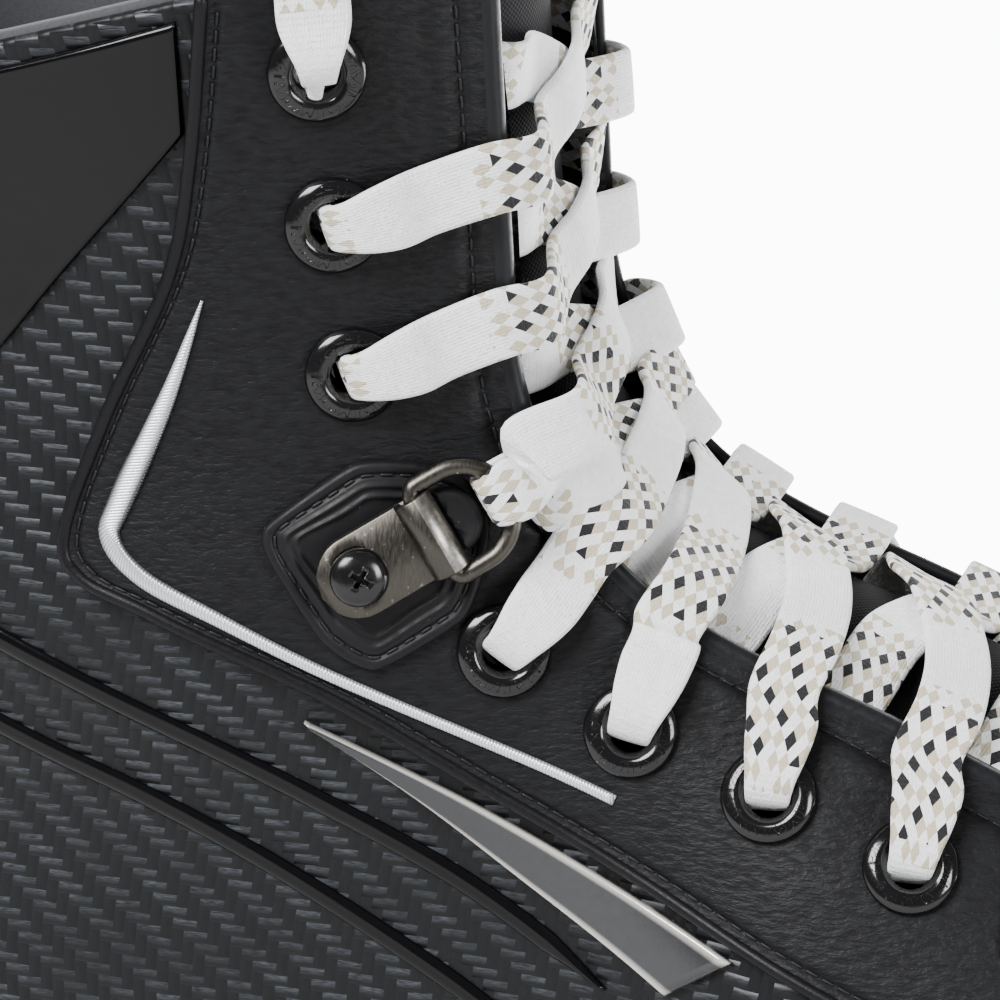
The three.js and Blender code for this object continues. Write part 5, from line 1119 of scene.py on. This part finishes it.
def block_at(ring, corner):
    """A six-sided cutter; corner takes shares from -0.5 to 0.5 and gives a place at the ring."""
    block = bpy.data.meshes.new("block")
    solid = bmesh.new()
    bmesh.ops.create_cube(solid, size=1.0)
    solid.to_mesh(block)
    solid.free()
    shares = np.array([v.co for v in block.vertices])
    block.vertices.foreach_set("co", ring.at(*corner(*shares.T)).ravel())
    cutter = bpy.data.objects.new("block", block)
    bpy.context.scene.collection.objects.link(cutter)
    return cutter


def behind_eye(forward, bar, height):
    """The space that the clip takes, cut out of the bumper's back."""
    return between(-0.010, CLIP_EYE + 0.0004, forward + 0.5), bar * 0.02, 0.002 + (height + 0.5) * 0.02


for side_name, ring in ring_frames.items():
    layers = [on_pad(ring, outline, PAD_LOW)]
    layers += [on_pad(ring, PAD_CENTRE + outward * (1 - inset / reach), pad_height(inset))
               for inset in pad_rings]
    middle = [on_pad(ring, PAD_CENTRE[None], lift) for lift in (PAD_HIGH - CROWN_DIP, PAD_LOW)]
    n = len(outline)
    points = np.concatenate([*layers, *middle])
    faces = tube_faces(len(layers), n)
    top, last = (len(layers) - 1) * n, len(points) - 2
    faces += [(top + j, top + (j + 1) % n, last) for j in range(n)]
    faces += [(j, last + 1, (j + 1) % n) for j in range(n)]
    make(f"ring_pad_{side_name}", points, faces, rubber, "boot", slot="rubber",
         replaces=f"d_ring_pad_{side_name}")
    parts = []
    for start in range(0, n, 6):
        picks = np.arange(start, start + 5) % n
        flat = PAD_CENTRE + outward[picks] * (1 - STITCH_INSET / reach[picks])
        path = on_pad(ring, flat, PAD_HIGH - 0.00038)
        parts.append(sweep(path, 0.00020, 7, facing=np.repeat(ring.normal[None], len(path), 0)))
    many(f"pad_stitches_{side_name}", parts, thread, "boot", slot="thread")
    post = PAD_HIGH + BUMPER_HEIGHT
    bumper = turned(f"ring_bumper_{side_name}", [
        (BUMPER_RADIUS, PAD_HIGH - 0.0006), (BUMPER_RADIUS, post - 0.0007),
        (BUMPER_RADIUS - 0.00012, post - 0.0003), (BUMPER_RADIUS - 0.0005, post),
        (BUMPER_RADIUS - 0.0009, post), (BUMPER_RADIUS - 0.0012, post - 0.00018),
        (0.0010, post - 0.0002), (0.0001, post - 0.0002)],
        ring.at(BUMPER_FRONT - BUMPER_RADIUS, 0, 0), ring.normal, rubber, "boot", segments=72, slot="rubber")
    cut_away(bumper, [block_at(ring, behind_eye)])

# ---------------------------------------------------------------- D-ring clips, rings, screws and nuts
# A strip of dark-nickel steel is folded round the ring's straight bar and held by one black
# Phillips screw through pad, facing and shell into a nut inside; the ring swings in the fold.

nickel = Finish("dark_nickel", (0.20, 0.19, 0.175), 0.36, 1.0)
drawn = nickel.add("Mapping", {0: nickel.place(), 3: (5200, 900, 900)}).outputs[0]
brush = nickel.noise(1, 3, drawn)
wear = nickel.ramp(nickel.noise(1500, 3), 0.66, 0.76)
tarnished = nickel.mix(brush, (0.055, 0.050, 0.043), (0.12, 0.112, 0.098))
nickel.color(nickel.mix(wear, tarnished, (0.30, 0.285, 0.26)))
nickel.rough(nickel.ramp(brush, 0.3, 0.7, 0.28, 0.44))
nickel.relief(brush, 0.00002, 0.5)

# Painted highlight: the bend of the fold is painted lighter than the rest of the clip, and mottled.
fold_highlight = Finish("fold_painted_highlight", (0.45, 0.43, 0.39), 0.34, 1.0)
fold_mottle = fold_highlight.noise(1500, 3)
fold_highlight.color(fold_highlight.mix(fold_highlight.ramp(fold_mottle, 0.30, 0.75), (0.20, 0.19, 0.17), (0.40, 0.385, 0.355)))
fold_highlight.relief(fold_mottle, 0.00004, 0.6)

black_steel = Finish("black_steel", (0.004, 0.004, 0.0045), 0.16, Specular_IOR_Level=0.55)
black_steel.rough(black_steel.ramp(black_steel.noise(700), 0.35, 0.7, 0.12, 0.26))

zinc = Finish("zinc_steel", (0.55, 0.56, 0.58), 0.32, 1.0)
zinc.rough(zinc.ramp(zinc.noise(800), 0.3, 0.7, 0.26, 0.42))

SHEET = CLIP_THICKNESS / 2
RING_HALF_BAR, RING_DEPTH = 0.0059, 0.010
SCREW_HEAD, SCREW_HEAD_HEIGHT = 0.0035, 0.002


DRIVE_LENGTH, DRIVE_WIDTH, DRIVE_DEPTH = 0.0037, 0.00075, 0.0013  # the screw's cross-shaped recess
FOLD_STARTS, FOLD_ENDS = 31, 39  # sections round the strip's bend, painted lighter as a painted highlight


def folded_strip():
    """(forward, height) along the middle of the folded sheet, from its lower tail round the bar."""
    tail = -CLIP_REACH - CLIP_WIDTH / 2
    low, high = CLIP_LOW + SHEET / 2, CLIP_LOW + SHEET * 1.5
    turn = CLIP_EYE - SHEET / 2
    line = [(f, low) for f in between(tail, -0.0004, (np.linspace(0, 1, 24) ** 0.8))]
    end = math.pi - math.asin((high - BAR_HEIGHT) / turn)
    line += [(turn * math.cos(a), BAR_HEIGHT + turn * math.sin(a))
             for a in np.linspace(-math.pi / 2, end - 0.12, 26)]
    meet = turn * math.cos(end) - 0.0005
    line += [(f, high) for f in between(meet, tail, np.linspace(0, 1, 24) ** 1.25)]
    return np.array(line)


for side_name, ring in ring_frames.items():
    line = folded_strip()
    ahead = unit(np.gradient(line, axis=0))
    normal = np.stack([-ahead[:, 1], ahead[:, 0]], -1)
    past = np.clip(-(line[:, 0] + CLIP_REACH) / (CLIP_WIDTH / 2), 0, 0.9995)
    half = CLIP_WIDTH / 2 * np.sqrt(1 - past**2)
    corner = 0.00018
    section = [(-1, -1, 0, 1), (-1, -1, 1, 0), (1, -1, -1, 0), (1, -1, 0, 1), (1, 1, 0, -1), (1, 1, -1, 0),
               (-1, 1, 1, 0), (-1, 1, 0, -1)]
    rows = [[ring.at(f + nf * t, b, h + nh * t) for b, t in
             [(s * w + dw * corner, o * SHEET / 2 + dt * corner) for s, o, dw, dt in section]]
            for (f, h), (nf, nh), w in zip(line, normal, half)]
    points = np.array(rows).reshape(-1, 3)
    m = len(section)
    faces = tube_faces(len(line), m) + end_faces(len(line), m)
    clip = make(f"ring_clip_{side_name}", points, faces, nickel, "boot", slot="dark_nickel",
                replaces=f"d_ring_clip_{side_name}")
    # The sections round the bend get the painted highlight.
    clip.data.materials.append(fold_highlight.material)
    for polygon in clip.data.polygons:
        if FOLD_STARTS * m <= polygon.index < FOLD_ENDS * m:
            polygon.material_index = 1
    screw_at = ring.at(-CLIP_REACH, 0, 0)
    cut_away(clip, [rod_along(screw_at, ring.normal, SCREW_RADIUS + 0.0002)])

    top = HEAD_LOW + SCREW_HEAD_HEIGHT
    screw = turned(f"ring_screw_{side_name}", [
        (0.0001, -0.0050), (SCREW_RADIUS - 0.0002, -0.0050), (SCREW_RADIUS, -0.0047),
        (SCREW_RADIUS, HEAD_LOW), (SCREW_HEAD, HEAD_LOW), (SCREW_HEAD, HEAD_LOW + 0.0004),
        (SCREW_HEAD * 0.97, HEAD_LOW + 0.0008), (SCREW_HEAD * 0.88, HEAD_LOW + 0.00125),
        (SCREW_HEAD * 0.72, HEAD_LOW + 0.0016), (SCREW_HEAD * 0.5, top - 0.0002),
        (SCREW_HEAD * 0.25, top - 0.00005), (0.0001, top)],
        screw_at, ring.normal, black_steel, "boot", segments=80, slot="black_steel",
        replaces=f"d_ring_screw_{side_name}")
    for angle in (0.5, 0.5 + math.pi / 2):
        def drive_wing(along, across, height):
            taper = np.where(height < 0, 0.35, 1.0)
            along, across = along * DRIVE_LENGTH * taper, across * DRIVE_WIDTH * np.sqrt(taper)
            c, s = math.cos(angle), math.sin(angle)
            return (-CLIP_REACH + along * c - across * s, along * s + across * c,
                    top - DRIVE_DEPTH + (height + 0.5) * 0.0028)

        cut_away(screw, [block_at(ring, drive_wing)])

    turned(f"ring_nut_{side_name}", [(SCREW_RADIUS + 0.0002, -0.0049), (0.0042, -0.0050), (0.0045, -0.0047),
                                     (0.0045, -0.0034), (0.0042, -0.0032), (SCREW_RADIUS + 0.0002, -0.0033)],
           screw_at, ring.normal, zinc, "boot", segments=6, closed=True, slot="steel",
           replaces=f"d_ring_nut_{side_name}")

    bow = [(0.0, b * RING_HALF_BAR) for b in np.linspace(-0.74, 0.74, 9)]
    straight = RING_DEPTH - RING_HALF_BAR
    bow += [(straight + RING_HALF_BAR * math.cos(a) * (4 if math.cos(a) < 0 else 1),
             RING_HALF_BAR * math.sin(a) * 1.02) for a in np.radians(np.linspace(98, -98, 15))]
    loop = rounded_loop([(max(f, 0.0), b) for f, b in bow], 120)
    centre = ring.at(loop[:, 0], loop[:, 1], BAR_HEIGHT)
    ahead = unit(np.roll(centre, -1, 0) - np.roll(centre, 1, 0))
    out = np.cross(ahead, ring.normal)
    turns = np.linspace(0, 2 * math.pi, 20, endpoint=False)
    points = (centre[:, None] + RING_WIRE * (np.cos(turns)[None, :, None] * out[:, None]
                                             + np.sin(turns)[None, :, None] * ring.normal)).reshape(-1, 3)
    make(f"ring_wire_{side_name}", points, tube_faces(len(loop), len(turns), closed=True), nickel,
         f"ring_{side_name}", slot="dark_nickel", replaces=f"d_ring_{side_name}")

# The eyelet and screw holes go through facing and shell.
for side_name, ring in ring_frames.items():
    def drills():
        holes = [rod_along(*eyelets[side_name, number], HOLE) for number in range(1, EYELETS + 1)]
        return holes + [rod_along(ring.at(-CLIP_REACH, 0, 0), ring.normal, SCREW_RADIUS + 0.0003)]

    cut_away(facings[side_name], drills())
    cut_away(shell, drills())

# ---------------------------------------------------------------- lace
# One flat white cotton lace, knitted as a braid, criss-crosses from the bar at the toe up
# through six eyelets a side, round both D-rings and through the three eyelets above them.


def corners_and_neighbours(node):
    """The solid lace's own points, and for each the set of points that share a face with it."""
    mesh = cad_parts[node].data
    at = np.array([v.co for v in mesh.vertices])
    keys, same = np.unique(at.round(6), axis=0, return_inverse=True)
    same = same.ravel()
    near = [set() for _ in keys]
    for polygon in mesh.polygons:
        corners = [same[i] for i in polygon.vertices]
        for i in corners:
            near[i].update(corners)
    return keys, near


def lace_rows(node):
    """Ribbon rows read from the solid lace, which is a chain of rings of four points."""
    keys, near = corners_and_neighbours(node)
    end = eyelets["lateral", EYELETS]
    start = keys[np.argsort(np.linalg.norm(keys - (end[0] + end[1] * FLANGE_TOP), axis=1))[:4]]
    ring = [int(np.argmin(np.linalg.norm(keys - p, axis=1))) for p in start]
    seen, rings = set(ring), [ring]
    while True:
        after = set().union(*(near[i] for i in rings[-1])) - seen
        if not after:
            break
        seen |= after
        rings.append(sorted(after))
    centres = np.array([keys[r].mean(0) for r in rings])
    rows, across = [], None
    for ring, centre in zip(rings, centres):
        corners = keys[ring] - centre
        if across is None:
            spans = [corners[i] - corners[0] for i in range(1, 4)]
            spans.sort(key=np.linalg.norm)
            across, thick = spans[1] / 2, spans[0] / 2
        else:
            c = corners[np.argsort(corners @ across)]
            lower, upper = (pair[np.argsort(pair @ thick)] for pair in (c[:2], c[2:]))
            across, thick = (upper - lower).sum(0) / 4, (lower[1] - lower[0] + upper[1] - upper[0]) / 4
        rows.append(np.concatenate([centre, across, thick]))
    return np.array(rows)


FULLER = 0.6  # soft cotton springs back beside the eyelets that squeeze it
rows = lace_rows("lace")
squeezed = 2 * np.linalg.norm(rows[:, 3:6], axis=1) / LACE_WIDTH
rows[:, 3:6] *= (squeezed ** (FULLER - 1))[:, None]
ribbon("lace_braid", rows, cotton, "boot", step=0.0006, slot="cotton", replaces="lace")

# ---------------------------------------------------------------- tongue
# A felt-lined tongue arches under the lace from the toe cap to above the collar.  Its black
# nylon face is quilted to the felt and bound along the rim.

RIDGE = [(0.096, 0.047), (0.080, 0.0566), (0.0618, 0.067), (0.0316, 0.0809), (0.0106, 0.0887),
         (-0.0019, 0.0958), (-0.010, 0.1056), (-0.0168, 0.1184), (-0.0198, 0.136), (-0.0213, 0.155),
         (-0.022, 0.171), (-0.0216, 0.189), (-0.0186, 0.207)]
ridge = SideLine(RIDGE)
TONGUE_HALF_WIDTH, TONGUE_DEPTH = 0.0215, 0.026
TONGUE_THICKNESS, TONGUE_EDGE = 0.008, 0.003
TONGUE_RIM = 0.0012
RIM_SEAM = 0.008  # from the tongue's top to the seam of its binding

nylon = Finish("tongue_nylon", (0.007, 0.007, 0.008), 0.8, Specular_IOR_Level=0.2)
along, across = nylon.flat()
NYLON_YARN = 0.00035
weave = nylon.sum("MULTIPLY", *(nylon.sum("SINE", nylon.sum("MULTIPLY", way, math.pi / NYLON_YARN))
                                for way in (along, across)))
nylon.color(nylon.mix(nylon.ramp(weave, -1, 1), (0.004, 0.004, 0.005), (0.011, 0.011, 0.0125)))
nylon.relief(weave, 0.00010, 0.6)
nylon.relief(nylon.noise(500, 3), 0.0002, 0.5)


def tongue_place(u, v, lift):
    """u runs up the ridge, v across it; lift 1 is the outer face and 0 the felt inside."""
    s = between(0.001, ridge.length, u)
    here, direction = ridge.at(s), ridge.direction(s)
    inward = np.stack([-direction[..., 1], direction[..., 0]], -1)
    inward *= -np.sign(inward[..., :1])
    angle = np.radians(between(-88, 88, v))
    thick = between(TONGUE_EDGE, TONGUE_THICKNESS, np.cos(angle) ** 2)
    seam = 0.0007 * (np.exp(-((np.abs(angle) - 0.62) / 0.05) ** 2)
                     + np.exp(-((ridge.length - s - RIM_SEAM) / 0.0009) ** 2))
    lifted = np.where(lift > 0.5, -seam - (1 - lift) * 2 * TONGUE_RIM, -thick + lift * 2 * TONGUE_RIM)
    depth = TONGUE_DEPTH - (TONGUE_DEPTH + lifted) * np.cos(angle)
    y = (TONGUE_HALF_WIDTH + lifted) * np.sin(angle)
    p = here + inward * depth[..., None]
    return np.stack([p[..., 0], y, p[..., 1]], -1), np.stack([s, angle * TONGUE_HALF_WIDTH], -1)


tongue = slab("quilted_tongue", tongue_place, edged(180, 0.24, TONGUE_RIM), edged(72, 0.07, TONGUE_RIM), 0.0,
              1.0, nylon, None, rim=TONGUE_RIM, slot="felt", replaces=("tongue_lower", "tongue_top"))
crease = ridge.at(ridge.nearest(-0.022, 0.2356)[1])
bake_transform(tongue)

# ---------------------------------------------------------------- tendon guard
# Behind the collar a moulded guard is stitched to the shell; above the collar it narrows to a
# round top with a soft felt-covered pad inside it.

GUARD_BASE, GUARD_HEIGHT = 0.112, 0.056
GUARD_GIRTH, GUARD_TOP_GIRTH, GUARD_TAPER = 0.040, 0.047, 0.84
GUARD_OUTSIDE, GUARD_INSIDE = 0.0028, -0.0004
collar_back = SOLE + float(collar_rise(0.0))

guard_shell = Finish("guard_plastic", (0.008, 0.008, 0.009), 0.42, Specular_IOR_Level=0.3)
guard_shell.rough(guard_shell.ramp(guard_shell.noise(900), 0.3, 0.7, 0.36, 0.5))
guard_shell.relief(guard_shell.noise(3800, 2), 0.00003, 0.6)

felt = Finish("pressed_felt", (0.045, 0.047, 0.052), 0.96, Sheen_Weight=0.5, Sheen_Roughness=0.5)
fluff = felt.noise(2200, 4)
felt.color(felt.mix(fluff, (0.030, 0.031, 0.034), (0.075, 0.078, 0.084)))
felt.relief(fluff, 0.0002, 0.7)


def base_place(u, v, lift):
    girth = between(-GUARD_GIRTH, GUARD_GIRTH, u)
    height = between(SOLE + GUARD_BASE, collar_back - 0.0003, v)
    ribs = 0.0006 * np.exp(-((np.abs(girth) - 0.026) / 0.0012) ** 2) * (lift > 0.002)
    return off_skin(girth, height, lift - ribs), np.stack([girth, height], -1)


def guard_place(inset):
    def place(u, v, lift):
        girth = (2 * u - 1) * (GUARD_TOP_GIRTH - inset) * np.sqrt(1 - (GUARD_TAPER * v) ** 2.4)
        collar = SOLE + collar_rise(np.abs((2 * u - 1) * GUARD_TOP_GIRTH) / corner_girth)
        height = between(collar + 0.0006 + inset, collar_back + GUARD_HEIGHT - inset, v)
        return off_skin(girth, height, lift), np.stack([girth, height], -1)

    return place


slab("guard_base", base_place, edged(100, 0.08, 0.0008), edged(40, 0.036, 0.0008), FACING_GAP,
     GUARD_OUTSIDE, guard_shell, "boot", rim=0.0008, slot="leather", replaces="tendon_guard_base")
guard_top = slab("guard_top", guard_place(0), edged(100, 0.09, 0.0010), edged(60, 0.056, 0.0010),
                 GUARD_INSIDE, GUARD_OUTSIDE, guard_shell, None, rim=0.0010, both=True, slot="leather",
                 replaces="tendon_guard_top")
tendon = slab("tendon_cushion", guard_place(0.004), edged(80, 0.08, 0.0018), edged(50, 0.045, 0.0018), -0.005,
              -0.001, felt, None, rim=0.0018, both=True, slot="felt", replaces="tendon_pad")
GUARD_BEND = (0.002, 0.016)  # heights above the back of the collar meant for the guard's bend; nothing bends the guard
bend_low, bend_high = ((float(heel_line(collar_back)), 0.0, collar_back + up) for up in GUARD_BEND)
for piece in (guard_top, tendon):
    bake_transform(piece)


END_ROOM = 0.003  # left free of stitches at the top and bottom of the guard's base


class GuardLine:
    """A row of stitches up the edges of the fixed part of the guard."""

    def __init__(self, girth):
        self.girth, self.low = girth, SOLE + GUARD_BASE + END_ROOM
        self.length = collar_back - SOLE - GUARD_BASE - 2 * END_ROOM

    def __call__(self, distance):
        z = self.low + distance
        return off_skin(self.girth, z, GUARD_OUTSIDE), skin_normal(np.full_like(z, self.girth), z)


for where, girth in (("lateral", -GUARD_GIRTH + 0.0025), ("medial", GUARD_GIRTH - 0.0025)):
    stitches(f"guard_stitches_{where}", GuardLine(girth), "boot", pitch=0.0030, length=0.0021, radius=0.00026,
             slot="thread")

# ---------------------------------------------------------------- toe cap
# A hard moulded cap covers the toes.  It is glued to the sole in front of the shell, and its rear
# rim stands proud of shell and facings.

TOE_LENGTH, TOE_HEIGHT, TOE_PROUD, TOE_WALL = 0.068, 0.062, 0.0015, 0.003


def toe_shares(t):
    return (1 - t**2.6) ** (1 / 2.2), (1 - t**2.8) ** 0.5


def toe_place(u, v, lift):
    """lift is nothing on the outer face and negative inside it."""
    t = np.sin(np.minimum(u, 0.985) * math.pi / 2)
    closing = np.clip((1 - u) / 0.015, 0.1, 1)  # draws the tip together
    wide, high = (share * closing for share in toe_shares(t))
    x = TOE_JOIN + t * (TOE_LENGTH + lift)
    angle = v * math.pi
    full = full_half_width(np.where(angle < math.pi / 2, MEDIAL, LATERAL), TOE_JOIN, SOLE + 0.040)
    c = np.cos(angle)
    rise = (TOE_HEIGHT + lift) * high * np.maximum(np.sin(angle), 0) ** (2 / 2.6)
    tuck = 1 - 0.1 * np.clip(1 - rise / 0.026, 0, 1) ** 2
    y = (full + TOE_PROUD + lift) * wide * np.sign(c) * np.abs(c) ** (2 / 2.6) * tuck
    return np.stack([x, y, SOLE + BORDER_GAP + rise], -1), np.stack([u * 0.1, v * 0.14], -1)


hard_toe = Finish("hard_toe", (0.007, 0.007, 0.008), 0.3, Specular_IOR_Level=0.4)
hard_toe.rough(hard_toe.ramp(hard_toe.noise(500), 0.3, 0.7, 0.24, 0.38))
hard_toe.relief(hard_toe.noise(2600, 2), 0.00003, 0.5)
slab("toe_guard", toe_place, edged(70, 0.09, 0.0008), edged(110, 0.16, 0.0008), -TOE_WALL, 0.0, hard_toe,
     "boot", rim=0.0008, slot="toe_plastic", replaces="toe_cap")

# ---------------------------------------------------------------- outsole, board and footbed
# A composite outsole closes the boot from below and carries the holder.  Inside it lie a stiff
# fibre board and a moulded foam footbed with a knitted face.


def dressed(node, name, finish, bevel=0.0, smooth=35):
    """The solid part itself, with its edges broken, as a visual piece of its own."""
    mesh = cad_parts[node].data.copy()
    mesh.materials.clear()
    piece = bpy.data.objects.new(name, mesh)
    bpy.context.scene.collection.objects.link(piece)
    solid = bmesh.new()
    solid.from_mesh(mesh)
    bmesh.ops.remove_doubles(solid, verts=solid.verts, dist=1e-5)
    bmesh.ops.recalc_face_normals(solid, faces=solid.faces)
    bmesh.ops.dissolve_limit(solid, angle_limit=math.radians(2), verts=solid.verts, edges=solid.edges)
    if bevel:
        sharp = [edge for edge in solid.edges
                 if len(edge.link_faces) == 2 and edge.calc_face_angle(0) > math.radians(smooth)]
        bmesh.ops.bevel(solid, geom=sharp, offset=bevel, segments=3, profile=0.5, affect="EDGES",
                        clamp_overlap=True)
    solid.to_mesh(mesh)
    solid.free()
    mesh.shade_smooth()
    mesh.set_sharp_from_angle(angle=math.radians(smooth))
    mesh.materials.append(finish.material)
    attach(piece, "boot")
    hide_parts(node)
    return piece


composite = Finish("sole_composite", (0.020, 0.020, 0.021), 0.28, Coat_Weight=0.4)
composite.rough(composite.ramp(composite.noise(600), 0.3, 0.7, 0.22, 0.36))
fibre_board = Finish("fibre_board", (0.30, 0.24, 0.17), 0.85)
fibre_board.color(fibre_board.mix(fibre_board.noise(900, 4), (0.24, 0.19, 0.13), (0.36, 0.29, 0.21)))
foam = Finish("knit_footbed", (0.05, 0.05, 0.055), 0.92, Sheen_Weight=0.4)
foam.color(foam.mix(foam.noise(1500, 3), (0.035, 0.035, 0.039), (0.075, 0.075, 0.082)))
foam.relief(foam.noise(1500, 3), 0.0002, 0.6)
dressed("outsole", "outsole_plate", composite, 0.0006)
dressed("insole_board", "stiff_board", fibre_board, 0.0003)
footbed = dressed("footbed", "foam_footbed", foam, 0.0010)

# ---------------------------------------------------------------- blade holder
# A white nylon holder with two pillars is riveted under the sole; a slot in its rail takes the
# runner's back and its two tabs.

nylon_white = Finish("holder_nylon", (0.80, 0.81, 0.82), 0.38)
nylon_white.rough(nylon_white.ramp(nylon_white.noise(400), 0.3, 0.7, 0.32, 0.46))
nylon_white.relief(nylon_white.noise(2400, 2), 0.00002, 0.5)
holder = dressed("blade_holder", "nylon_holder", nylon_white)
remesh = holder.modifiers.new("even", "REMESH")
remesh.mode, remesh.voxel_size = "VOXEL", 0.0007
soften = holder.modifiers.new("soften", "SMOOTH")
soften.factor, soften.iterations = 0.5, 9
holder.data = bpy.data.meshes.new_from_object(holder.evaluated_get(bpy.context.evaluated_depsgraph_get()))
holder.modifiers.clear()
holder.data.shade_smooth()

# ---------------------------------------------------------------- runner, bolts and nuts
# A hardened stainless runner, ground on its faces and hollow-ground along its edge, is clamped
# in the holder by two bolts through its tabs.

steel = Finish("ground_steel", (0.60, 0.61, 0.63), 0.22, 1.0)
ground = steel.add("Mapping", {0: steel.place(), 3: (60, 4000, 4000)}).outputs[0]
grinding = steel.noise(1, 3, ground)
steel.color(steel.mix(grinding, (0.50, 0.51, 0.53), (0.68, 0.69, 0.71)))
steel.rough(steel.ramp(grinding, 0.3, 0.7, 0.16, 0.32))
steel.relief(grinding, 0.00001, 0.4)
dressed("runner", "steel_runner", steel, 0.00012, 30)
for where in ("front", "rear"):
    for fixing in ("bolt", "nut"):
        dressed(f"runner_{fixing}_{where}", f"{fixing}_{where}", zinc, 0.0003)
